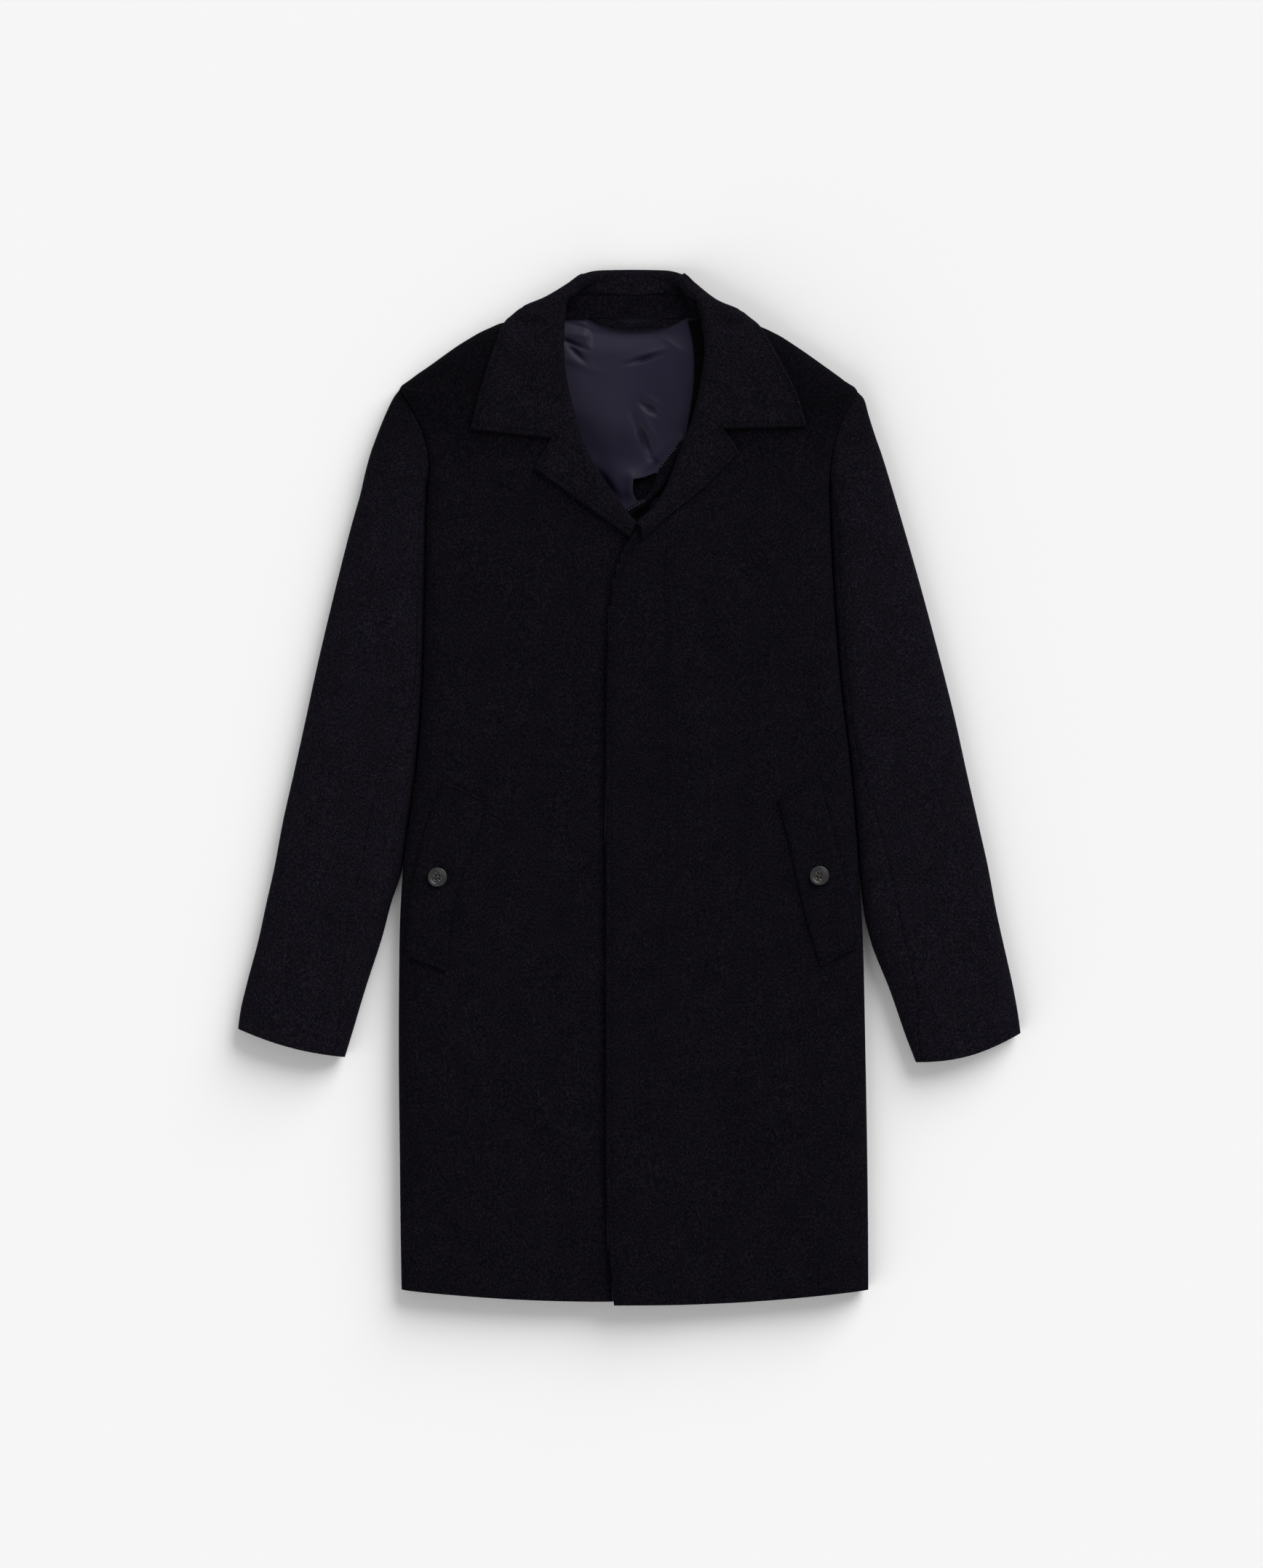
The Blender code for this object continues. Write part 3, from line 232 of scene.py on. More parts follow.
FRONT_RIGHT = table(
    FrontRow,
    (38, -522, -231, -511, 13, 45),
    (38, -450, -232, -447, 15, 52),
    (38, -380, -232.6, -383, 15, 56),
    (38, -265, -233.8, -265, 15, 56),
    (38, -161, -233.1, -161, 15, 54),
    (38, -80, -229.4, -81, 16, 46),
    (38, 18, -215.3, 18, 18, 34),
    (38, 117, -208.7, 117, 18, 30),
    (38, 190, -206.5, 209, 18, 30),
    (38, 232, -205.3, 268, 18, 30),
    (20, 253, -204.3, 300, 19, 28),
    (4.5, 265.5, -201.8, 320, 26, 12),
    (-18.5, 294.3, -203.5, 341, 29.5, 8),
    (-36.9, 321.2, -209.2, 362, 30, 8),
    (-49.5, 346, -219.5, 384, 27.5, 11),
    (-58, 371, -231.2, 405.3, 19, 28),
    (-63.1, 392, -222, 414.6, 15, 40),
    (-67.2, 410, -200.5, 430, 14, 44),
    (-69.6, 427, -170, 451.5, 14, 44),
    (-70.4, 439, -144, 466, 14, 44),
    (-70.6, 449, -123, 473, 14, 44),
    (-70.4, 457, -97, 471, 14, 44),
)
FRONT_LEFT = table(
    FrontRow,
    (-14.8, -526, 244, -511, 13, 45),
    (-20.4, -455, 243.7, -455, 15, 52),
    (-22.9, -380, 242.9, -380, 15, 56),
    (-22.9, -265, 240.9, -265, 15, 56),
    (-22.9, -161, 238.6, -161, 15, 54),
    (-22.9, -80, 234, -81, 16, 46),
    (-22.9, 18, 225.8, 18, 18, 34),
    (-21.8, 117, 214.3, 117, 18, 30),
    (-17, 195, 208, 205, 18, 30),
    (-5.2, 237.5, 205, 268, 18, 30),
    (4.8, 256, 204.2, 300, 19, 28),
    (12.2, 265.4, 204.6, 320, 26, 12),
    (28.6, 280.2, 207, 340, 29.5, 8),
    (44.3, 306.5, 211.8, 360, 30, 8),
    (52.2, 327, 220.5, 380.5, 27.5, 11),
    (60.3, 349, 231, 403, 19, 28),
    (68.3, 369, 220, 413, 15, 40),
    (74, 390, 197, 430, 14, 44),
    (78.6, 413, 172, 447.5, 14, 44),
    (81.3, 430, 150, 461.2, 14, 44),
    (82.4, 443, 129, 469.5, 14, 44),
    (82, 454, 105, 471, 14, 44),
)
FRONT_ROWS = {Side.RIGHT: FRONT_RIGHT, Side.LEFT: FRONT_LEFT}
NECK_END = {Side.RIGHT: (-70.0, 480.0), Side.LEFT: (77.6, 480.0)}
UNDERARM = 10
SHOULDER = 16
HEM_BOW = 4.5
FLOOR_Z = 0.0
UNEVEN = 0.25  # unevenness of the fronts
UNEVEN_PITCH = 70.0
WAVES = 9  # waves that make up the unevenness of laid cloth
ALLOWANCE = np.array(  # share of its reach and drop of the armhole's seam allowance, point by point
    [(0, 0.8), (0, 1.8), (0, 2.9), (0, 4.0), (0, 5.0), (0.03, 5.9), (0.08, 6.5)]
    + [(0.18, 6.9), (0.34, 7.0), (0.55, 7.1), (0.78, 7.2), (1, 7.2)]
)

CROWN = table(
    CrownRow,
    (-530, 28),
    (-480, 30),
    (-380, 31.5),
    (-150, 32),
    (100, 32),
    (250, 33),
    (360, 34),
    (440, 33),
    (500, 31),
)
BODY_FOLDS = table(
    FoldRow,
    (-150, -330, 150, 16, 1.6, -4),
    (-95, -360, 130, 18, -1.4, 3),
    (118, -340, 150, 17, 1.5, 5),
    (214, -330, 48, 9, -2.6, 17),
    (196, -322, 60, 10, 1.8, 14),
    (-120, 60, 120, 20, 1.2, 6),
    (128, 90, 120, 18, 1.2, -6),
    (-165, 285, 45, 12, -1.6, 38),
    (168, 285, 45, 12, -1.6, -38),
    (-60, 120, 90, 15, -0.7, -8),
    (90, -140, 110, 22, 0.8, 4),
    (-190, -440, 70, 14, -0.9, -6),
    (150, 200, 60, 16, 0.8, 24),
)

SLEEVE_UPPER = {
    Side.RIGHT: table(
        UpperSleeveRow,
        (15, -233.4, 404, 18, 12, 20, 0.1),
        (14.7, -239, 396.5, 21, 11, 25, 0.1),
        (14, -246.6, 381, 27, 9, 30.5, 0.1),
        (13, -254.8, 361, 30, 8, 32.5, 0.1),
        (12, -262.5, 340, 29.5, 8, 32.5, 0.1),
        (11, -268, 320, 25, 13, 32, 0.3),
        (10, -272.5, 300, 17, 24, 31, 1.5),
        (9, -281.5, 268, 13, 28, 31, 7),
        (8, -296.6, 209, 13, 28, 31, 7),
        (7, -318.3, 117, 13, 28, 30, 7),
        (6.5, -329, 67, 13, 28, 30, 17),
        (6, -339.8, 18, 13, 30, 30, 32),
        (5.5, -351.7, -35, 13, 32, 30, 40),
        (5, -360.5, -82, 13, 34, 30, 42),
    ),
    Side.LEFT: table(
        UpperSleeveRow,
        (15, 233.2, 402, 18, 12, 20, 0.1),
        (14.7, 239.6, 395, 21, 11, 25, 0.1),
        (14, 244.5, 378, 27, 9, 30.5, 0.1),
        (13, 250.5, 359, 30, 8, 32.5, 0.1),
        (12, 257.5, 339, 29.5, 8, 32.5, 0.1),
        (11, 263.5, 320, 25, 13, 32, 0.3),
        (10, 269.5, 300, 17, 24, 31, 1.5),
        (9, 279, 268, 13, 28, 31, 7),
        (8, 297, 205, 13, 28, 31, 7),
        (7, 320.4, 117, 13, 28, 30, 7),
        (6.5, 332.8, 67, 13, 28, 30, 7),
        (6, 343.5, 18, 13, 30, 30, 10),
        (5.5, 355.5, -35, 13, 32, 30, 22),
        (5, 366, -82, 13, 34, 30, 31),
    ),
}
SLEEVE_LOWER = {
    Side.RIGHT: table(
        SleeveRow,
        (-241.5, -118, -369, -120, 13, 36, 30, 41),
        (-250.5, -152, -376.5, -155, 13, 38, 29, 36),
        (-268, -206, -388.5, -200, 13, 38, 29, 24),
        (-280.5, -248, -395, -228, 13, 36, 28, 15),
        (-288.6, -274.5, -397.4, -245.7, 12, 34, 28, 10),
    ),
    Side.LEFT: table(
        SleeveRow,
        (239.6, -128, 373.8, -124, 13, 36, 30, 35),
        (246.8, -158, 381, -157, 13, 38, 29, 34),
        (266.4, -208, 391.5, -204, 13, 38, 29, 26),
        (282, -253, 396.8, -234, 13, 36, 28, 12),
        (292.3, -279.7, 398.9, -250.1, 12, 34, 28, 6),
    ),
}
SLEEVE_FOLDS = {
    Side.RIGHT: table(
        FoldRow,
        (-292, 120, 120, 9, 0.8, 13),
        (-262, 235, 60, 8, -0.9, 22),
        (-318, -60, 90, 11, 0.9, 10),
        (-300, 15, 26, 5, -0.9, 62),
        (-345, -185, 50, 8, -0.8, 18),
        (-252, 352, 38, 1.8, -0.9, 20),
    ),
    Side.LEFT: table(
        FoldRow,
        (290, 120, 120, 9, 0.8, -13),
        (258, 235, 60, 8, -0.9, -22),
        (318, -60, 90, 11, 0.9, -10),
        (300, 15, 26, 5, -0.9, -62),
        (350, -185, 50, 8, -0.8, -16),
        (257, 308, 48, 4, 1, -10),
    ),
}
CUFF_BOW = {Side.RIGHT: 4.5, Side.LEFT: 8.0}

LAPEL_ROWS = {
    Side.RIGHT: table(
        LapelRow,
        (5.8, 262.1, 1, 254.2),
        (-7.2, 280.3, -23.3, 271.7),
        (-20.3, 294.8, -45, 287.3),
        (-33.4, 314.3, -72, 306.7),
        (-44.4, 332.5, -96.2, 324.1),
        (-53.1, 351.8, -87.3, 339),
        (-59.6, 373.5, -78.1, 353.7),
    ),
    Side.LEFT: table(
        LapelRow,
        (12.6, 264.4, 15, 251),
        (24.2, 272.1, 31, 267),
        (33.8, 285.5, 49, 282),
        (45, 307, 76.2, 303.4),
        (56.8, 338.9, 112.5, 338.9),
        (64.9, 359.7, 105, 351.5),
        (72.9, 379.6, 96.5, 363.3),
    ),
}

COLLAR = table(
    CollarRow,
    (-59.7, 373.8, -78.2, 354.0, -78.2, 354.0, 180, 0, 9),
    (-66.1, 399.7, -160.6, 363.3, -160.6, 363.3, 180, 0, 9),
    (-70.3, 423.3, -151.3, 401.0, -151.3, 401.0, 180, 0, 9),
    (-71.4, 449.0, -139.5, 438.0, -139.5, 438.0, 180, 0, 5.5),
    (-70.8, 472.0, -127.5, 471.5, -127.5, 471.5, 180, 0, 4),
    (-70.3, 484.6, -108.0, 488.5, -105.0, 466.0, 180, 27, 9),
    (-67.9, 495.2, -85.0, 498.5, -72.0, 449.0, 175, 25.5, 7),
    (-57.3, 505.8, -62.5, 512.0, -48.0, 443.0, 140, 21, 4),
    (-43.7, 516.2, -46.0, 523.3, -32.0, 440.0, 90, 14.5, 5),
    (-28.0, 519.8, -28.5, 527.7, -18.0, 438.0, 20, 8, 15),
    (5.0, 520.5, 5.0, 528.3, 5.0, 437.0, 0, 6.5, 19.5),
    (36.0, 519.8, 36.5, 527.7, 26.0, 438.0, 20, 8, 15),
    (52.1, 515.7, 55.0, 523.8, 41.0, 440.0, 90, 14.5, 5),
    (63.0, 504.6, 68.5, 512.2, 57.0, 443.0, 140, 21, 3.5),
    (75.5, 494.0, 91.0, 495.0, 80.0, 449.0, 175, 25.5, 6),
    (79.0, 483.5, 113.0, 485.5, 110.5, 464.0, 180, 27, 9),
    (81.5, 470.6, 135.0, 467.5, 135.0, 467.5, 180, 0, 4),
    (83.7, 448.9, 151.5, 437.0, 151.5, 437.0, 180, 0, 5.5),
    (82.3, 426.3, 170.0, 402.0, 170.0, 402.0, 180, 0, 9),
    (77.6, 402.8, 181.0, 365.5, 181.0, 365.5, 180, 0, 9),
    (73.05, 379.9, 96.65, 363.6, 96.65, 363.6, 180, 0, 9),
)
LEAF_ROWS = 4  # the leaf lies on a front up to this row, at both ends

WELT_ROWS = {
    Side.RIGHT: table(
        BandRow,
        (-187, 6.5, -143.5, -13),
        (-203.5, -36, -154, -50),
        (-215.5, -84, -170.2, -92.5),
        (-222.5, -128, -180.8, -138),
        (-225.5, -170.5, -184.5, -187),
    ),
    Side.LEFT: table(
        BandRow,
        (193, 11, 151, -12.6),
        (204.2, -35.5, 159, -40),
        (214.6, -79, 168.5, -82),
        (223.5, -124, 180, -131),
        (230, -163.5, 195, -182),
    ),
}
BUTTON_AT = {Side.RIGHT: (-193.5, -91.0), Side.LEFT: (193.5, -89.5)}

HANGER_LOOP = table(
    LoopRow,
    (-43, 482, -1.75),
    (-33, 477, -0.9),
    (-22, 472.6, 0.3),
    (2, 468.8, 1.2),
    (28, 470.2, 1),
    (47, 476, -0.6),
    (57, 482, -1.75),
)
LINING_FOLDS = table(
    FoldRow,
    (-50, 475, 16, 2.6, 1.4, 102),
    (-46, 468, 18, 2.2, -3.4, 106),
    (-48, 460, 18, 3, 1.2, 100),
    (-56, 451, 12, 2.2, -3.2, 112),
    (-54, 442, 12, 2.6, -3.2, 134),
    (-50, 431, 22, 4.6, 0.9, 112),
    (17, 441, 16, 2.6, 1.5, 74),
    (18, 436, 14, 2.2, -3.6, 74),
    (42, 453, 14, 3, 1, 127),
    (25, 392, 12, 3.6, 0.8, 124),
    (22, 385, 9, 3.4, -4.4, 124),
    (23, 361, 20, 3.6, 1, 153),
    (15, 354, 17, 3.4, -4.8, 156),
    (6, 358, 24, 5, 1.1, 157),
    (28, 331, 6, 2.8, -3.4, 120),
    (-22, 308, 15, 4, -3.4, 144),
    (-9, 305, 34, 13, 2.2, 168),
    (-20, 400, 60, 22, 0.9, 4),
    (30, 420, 40, 14, 0.7, -20),
)
FACING_ROWS = table(
    FacingRow,
    (50, 353, 52.5, 352, 55.5, 351, 66, 349),
    (43, 345, 47, 345, 52, 342.5, 62, 335),
    (34, 336, 39, 335, 47, 334.5, 58, 324),
    (22, 327, 32.6, 326.3, 42.7, 322.5, 54, 310),
    (-1, 318, 28.5, 313, 38.3, 312.5, 50, 299),
    (-3, 305, 24.5, 303.5, 32.5, 303, 44, 290),
    (-1, 295, 18.5, 295, 24, 295.3, 36, 281),
    (3, 292.5, 12.5, 291, 17.5, 288, 29, 273),
    (-4, 286.5, 0, 283.5, 5.5, 280, 20, 264),
    (-14, 281, -9, 277, -4.5, 273.5, 12, 258),
)
STRIP_ROWS = table(
    BandRow,
    (73, 352, 58.5, 358.5),
    (78, 367, 60.5, 371),
    (83, 386.5, 63.5, 389),
    (86, 409.5, 66, 410),
    (88, 432, 66.8, 432),
    (88, 454, 65.5, 452),
    (84, 476.6, 60.3, 474.3),
)
FACING_PROFILE = ((0.0, 0.8, 1.0, 1.8, 2.0, 2.4, 3.0), (5.0, 5.6, 16.5, 18.5, 17.8, 10.8, 10.0))
HOLLOW = (
    *((4.8, 313.5), (16.0, 315.5), (28.0, 320.5), (31.0, 318.5), (27.6, 311.0)),
    *((24.0, 303.5), (17.6, 294.0), (8.4, 290.6), (4.0, 301.0), (4.8, 313.5)),
)
BUTTONHOLE = ((21.2, 267.2), (30.2, 276.2))
FELLED = (((47.6, 344.4), (40.0, 335.4), (33.6, 326.3)), ((16.0, 291.2), (0.3, 282.2)))
FLY_LINE = (
    *((39.2, 236.8), (39.2, -59.9), (38.0, -115.0), (32.6, -166.5)),
    *((24.0, -190.0), (7.0, -208.5), (-19.5, -219.0)),
)


# ------------------------------------------------------------------ section arithmetic
def smooth_step(value: Array | float) -> Array:
    """Rise from 0 to 1 with level ends."""
    t = np.clip(value, 0.0, 1.0)
    return t * t * (3.0 - 2.0 * t)


def ramp(value: Array | float, start: float, over: float) -> Array:
    """Rise from 0 to 1 from a start, over a length; a negative length counts down from it."""
    return smooth_step((value - start) / over)


def bell(value: Array | float, width: float) -> Array:
    """A bump of height one and the given half width."""
    return np.exp(-((np.asarray(value) / width) ** 2))


def through(values: Sequence[float], at: Array | float) -> Array:
    """Read a table column at fractional row numbers, on a smooth curve that never overshoots.

    Args:
        values: The column.
        at: Fractional row numbers.

    Returns:
        One value for each row number.
    """
    values = np.asarray(values, float)
    at = np.clip(np.asarray(at, float), 0.0, len(values) - 1.0)
    step = np.diff(values)
    slope = np.zeros(len(values))
    same = step[:-1] * step[1:] > 0
    total = np.where(same, step[:-1] + step[1:], 1.0)
    slope[1:-1] = np.where(same, 2.0 * step[:-1] * step[1:] / total, 0.0)
    slope[0], slope[-1] = step[0], step[-1]
    low = np.minimum(at.astype(int), len(values) - 2)
    t = at - low
    return (
        values[low] * (1 + 2 * t) * (1 - t) ** 2
        + slope[low] * t * (1 - t) ** 2
        + values[low + 1] * t * t * (3 - 2 * t)
        + slope[low + 1] * t * t * (t - 1)
    )


def column(rows: Sequence[tuple], name: str, at: Array | float) -> Array:
    """One named column of a table at fractional row numbers."""
    return through([getattr(row, name) for row in rows], at)


def straight_column(rows: Sequence[tuple], name: str, at: Array | float) -> Array:
    """One named column of a table with straight runs between its rows."""
    return np.interp(at, range(len(rows)), [getattr(row, name) for row in rows])


def plan_of(rows: Sequence[tuple], name: str, at: Array, straight: bool = False) -> Array:
    """Plan points of one named line of a table.

    Args:
        rows: The table.
        name: The line's name, such as "edge" for the columns edge_x and edge_y.
        at: Fractional row numbers.
        straight: Whether the line is straight between its rows.

    Returns:
        Points, one row each.
    """
    read = straight_column if straight else column
    return np.column_stack([read(rows, f"{name}_x", at), read(rows, f"{name}_y", at)])


def unit(vector: Array) -> Array:
    """Vectors of length one."""
    return vector / np.linalg.norm(vector, axis=-1, keepdims=True)


def even_rows(lines: Sequence[Array], marks: Array, cell: float) -> Array:
    """Fractional rows spaced so that no line moves more than one cell between them.

    Args:
        lines: Plan points of each line at the marks.
        marks: Dense fractional row numbers.
        cell: Largest distance between neighbouring rows, millimetres.

    Returns:
        The fractional row numbers, with every whole row among them.
    """
    moved = np.max([np.linalg.norm(np.diff(line, axis=0), axis=1) for line in lines], axis=0)
    length = np.concatenate([[0.0], np.cumsum(moved)])
    whole = np.arange(int(marks[-1]) + 1)
    stops = np.interp(whole, marks, length)
    rows = [0.0]
    for start, end in zip(stops[:-1], stops[1:]):
        count = max(1, int(math.ceil((end - start) / cell)))
        rows.extend(np.interp(start + (end - start) * np.arange(1, count + 1) / count, length, marks))
    return np.array(rows)


def fold_relief(rows: Sequence[FoldRow], x: Array, y: Array) -> Array:
    """Sum of the soft ridges and troughs of a table at plan points.

    Args:
        rows: The table.
        x: Plan places, millimetres.
        y: Plan places, millimetres.

    Returns:
        The relief at each place.
    """
    relief = np.zeros(np.broadcast(x, y).shape)
    for row in rows:
        lean = math.radians(row.lean)
        across = (x - row.x) * math.cos(lean) - (y - row.y) * math.sin(lean)
        along = (x - row.x) * math.sin(lean) + (y - row.y) * math.cos(lean)
        relief += row.rise * np.exp(-((across / row.half_width) ** 2) - (along / row.half_length) ** 2)
    return relief


def line_distance(points: Array, line: Array, signed: bool = False) -> tuple[Array, Array]:
    """Distance from plan points to a polyline.

    Args:
        points: Plan points, in any arrangement; a third coordinate isn't read.
        line: The polyline's points, one row each.
        signed: Whether points to the right of the line count negative.

    Returns:
        The distances, and the fractional index of the nearest place on the line, arranged as the points.
    """
    shape = points.shape[:-1]
    points = points[..., :2].reshape(-1, 2)
    best = np.full(len(points), np.inf)
    where = np.zeros(len(points))
    sign = np.ones(len(points))
    for index, (start, end) in enumerate(zip(line[:-1], line[1:])):
        span = end - start
        share = np.clip(((points - start) @ span) / max(float(span @ span), 1e-9), 0.0, 1.0)
        gap = points - (start + share[:, None] * span)
        away = np.hypot(gap[:, 0], gap[:, 1])
        nearer = away < best
        best[nearer] = away[nearer]
        where[nearer] = index + share[nearer]
        turn = span[0] * gap[:, 1] - span[1] * gap[:, 0]
        sign[nearer] = np.where(turn[nearer] < 0, -1.0, 1.0)
    return (best * sign if signed else best).reshape(shape), where.reshape(shape)


def ripple(x: Array, y: Array, pitch: float, seed: int) -> Array:
    """Gentle unevenness of laid cloth, between about -1 and 1.

    Args:
        x: Plan places, millimetres.
        y: Plan places, millimetres.
        pitch: Usual distance between neighbouring swells, millimetres.
        seed: Picks one fixed pattern.

    Returns:
        The swell at each place.
    """
    draw = np.random.default_rng(seed)
    total = np.zeros(np.broadcast(x, y).shape)
    for _ in range(WAVES):
        turn = draw.uniform(0, math.tau)
        wave = math.tau / (pitch * draw.uniform(0.7, 1.6))
        total += np.sin((x * math.cos(turn) + y * 0.5 * math.sin(turn)) * wave + draw.uniform(0, math.tau))
    return total / (WAVES / 2)


class Dome:
    """A shell's outer face as a height over the plan, rounding down to its outer folds."""

    def __init__(self, folds: Sequence[Array], crown: HeightAt) -> None:
        """Keep the folds.

        Args:
            folds: Each fold as rows of x, y, fold height and rounding width.
            crown: Full height at plan places.
        """
        self.folds = [np.asarray(fold, float) for fold in folds]
        self.crown = crown

    def height(self, x: Array, y: Array, outset: float = 0.0) -> Array:
        """Height of the outer face.

        Args:
            x: Plan places, millimetres.
            y: Plan places, millimetres.
            outset: How far the folds are moved out.

        Returns:
            The height at each place.
        """
        x, y = np.broadcast_arrays(np.asarray(x, float), np.asarray(y, float))
        full = self.crown(x, y)
        lowest = np.full(x.shape, np.inf)
        for fold in self.folds:
            away, where = line_distance(np.stack([x, y], axis=-1), fold[:, :2])
            index = np.arange(len(fold))
            low = np.interp(where, index, fold[:, 2])
            width = np.interp(where, index, fold[:, 3])
            inward = 1.0 - np.clip((away + outset) / width, 0.0, 1.0)
            share = (1.0 - inward**EDGE_POWER) ** (1.0 / EDGE_POWER)
            lowest = np.minimum(lowest, low + (full - low) * share)
        return lowest


def front_crown(x: Array, y: Array) -> Array:
    """Full height of the fronts with their soft folds."""
    keys = [row.y for row in CROWN]
    full = through([row.height for row in CROWN], np.interp(y, keys, range(len(keys))))
    return full + fold_relief(BODY_FOLDS, x, y) + UNEVEN * ripple(x, y, UNEVEN_PITCH, 3)


def front_dome(side: Side, samples: int = 260) -> Dome:
    """The dome of one front, from its side and shoulder fold."""
    rows = FRONT_ROWS[side]
    at = np.linspace(0, len(rows) - 1, samples)
    fold = np.column_stack([column(rows, name, at) for name in ("side_x", "side_y", "fold_z", "round_w")])
    return Dome([fold], front_crown)


DOMES = {side: front_dome(side) for side in Side}


def overlap_step(x: Array, y: Array) -> Array:
    """How far the over front is lifted by the under front and by the lapel that passes under it."""
    layer = (SHELL + LAY) * (1.0 - ramp(x, *OVERLAP_X)) * (1.0 - ramp(y, *OVERLAP_Y))
    away = (x - CLOSING[0]) ** 2 + (y - CLOSING[1]) ** 2
    return layer + CLOSING_RISE * np.exp(-away / (2 * CLOSING_SPREAD**2))


def front_top(side: Side, x: Array, y: Array) -> Array:
    """Height of a front's outer face."""
    height = DOMES[side].height(x, y)
    return height + overlap_step(x, y) if side is Side.LEFT else height


def back_rise(x: Array, y: Array) -> Array:
    """How far the back is lifted by the collar that passes under it."""
    inner, outer = NECK_RISE
    away = np.hypot(np.asarray(x) - NECK[0], np.asarray(y) - NECK[1])
    return (LEAF + LAY) * (1.0 - ramp(away, inner, outer - inner))


def floor(x: Array, y: Array) -> Array:
    """Height of the floor."""
    return np.full(np.broadcast(x, y).shape, FLOOR_Z)


def lower_fold(
    start: Array, inward: Array, top_z: float, ground: HeightAt, reach: float, run: float
) -> Array:
    """The lower half of a fold and the cloth turned under.

    Args:
        start: The fold's outermost plan point.
        inward: Plan direction toward the panel.
        top_z: Height of the fold's outermost point.
        ground: Height of what the cloth lies on.
        reach: How far the rounding reaches in plan.
        run: How far the cloth goes under in all.

    Returns:
        Points from just under the outermost one inwards.
    """
    turn = np.radians(90.0 * np.arange(1, TURN_STEPS + 1) / TURN_STEPS)
    plan = start + inward * (reach * (1.0 - np.cos(turn)))[:, None]
    flat = start + inward * np.linspace(reach, run, 4)[1:, None]
    plan = np.vstack([plan, flat])
    low = ground(plan[:, 0], plan[:, 1])
    rise = np.concatenate([1.0 - np.sin(turn), np.zeros(len(flat))])
    return np.column_stack([plan, low + (top_z - low) * rise])


def fine_shares(length: float, count: int) -> Array:
    """Shares of a length, even at first and then at the stations near its finished edge."""
    tail = np.array(NEAR_EDGE) * min(1.0 / length, EDGE_PART / NEAR_EDGE[0])
    return np.concatenate([np.linspace(0, 1 - tail[0], count - len(tail) + 2)[:-1], 1 - tail])


def resample(points: Array, count: int) -> Array:
    """Points along a polyline, even at first and finer before its end.

    Args:
        points: The polyline's points.
        count: How many points there are to be.

    Returns:
        The points.
    """
    points = np.asarray(points, float)
    length = np.concatenate([[0.0], np.cumsum(np.linalg.norm(np.diff(points, axis=0), axis=1))])
    marks = fine_shares(length[-1], count) * length[-1]
    return np.column_stack([np.interp(marks, length, points[:, axis]) for axis in range(3)])


# ------------------------------------------------------------------ finishes
def linear(code: str) -> tuple[float, float, float, float]:
    """An sRGB hex colour as linear RGBA."""
    parts = [int(code.lstrip("#")[i : i + 2], 16) / 255 for i in (0, 2, 4)]
    return (*(c / 12.92 if c <= 0.04045 else ((c + 0.055) / 1.055) ** 2.4 for c in parts), 1.0)


def add_node(
    tree: NodeTree, kind: str, settings: dict | None = None, sockets: dict | None = None
) -> Node:
    """Add a node with its settings and links.

    Args:
        tree: The node tree.
        kind: The node's type name.
        settings: Attribute values.
        sockets: Input values by socket name or number; a node stands for its first output.

    Returns:
        The node.
    """
    node = tree.nodes.new(kind)
    for name, value in (settings or {}).items():
        setattr(node, name, value)
    for name, value in (sockets or {}).items():
        value = value.outputs[0] if isinstance(value, Node) else value
        if isinstance(value, NodeSocket):
            tree.links.new(value, node.inputs[name])
        else:
            node.inputs[name].default_value = value
    return node


def add_math(tree: NodeTree, operation: str, *inputs: object) -> Node:
    """Add a sum on its inputs, in order."""
    return add_node(tree, "ShaderNodeMath", {"operation": operation}, dict(enumerate(inputs)))


def add_noise(tree: NodeTree, place: object, pitch: float, detail: float, **more: float) -> Node:
    """Add noise in space.

    Args:
        tree: The material's tree.
        place: Where it is read.
        pitch: Usual size of its swells, millimetres.
        detail: How many finer layers it has.
        more: Other inputs by name.

    Returns:
        The node.
    """
    sockets = {"Vector": place, "Scale": 1.0 / (pitch * MM), "Detail": detail}
    return add_node(tree, "ShaderNodeTexNoise", None, sockets | more)


def add_blend(tree: NodeTree, share: object, low: object, high: object) -> NodeSocket:
    """Blend two colours.

    Args:
        tree: The material's tree.
        share: How much of the second colour there is.
        low: The first colour, as a socket, a hex code or linear RGBA.
        high: The second colour.

    Returns:
        The socket that carries the blend.
    """
    low, high = (linear(end) if isinstance(end, str) else end for end in (low, high))
    return add_node(tree, "ShaderNodeMix", {"data_type": "RGBA"}, {0: share, 6: low, 7: high}).outputs[2]


def new_material(name: str, values: dict) -> tuple[Material, Node, NodeSocket]:
    """A Principled material with constants set on the shader's own sockets.

    Args:
        name: The material's name.
        values: Socket values by name.

    Returns:
        The material, its shader and the socket that carries the place on the coat.
    """
    material = bpy.data.materials.new(name)
    material.use_nodes = True
    shader = material.node_tree.nodes["Principled BSDF"]
    for socket, value in values.items():
        shader.inputs[socket].default_value = value
    place = add_node(material.node_tree, "ShaderNodeTexCoord").outputs["Object"]
    return material, shader, place


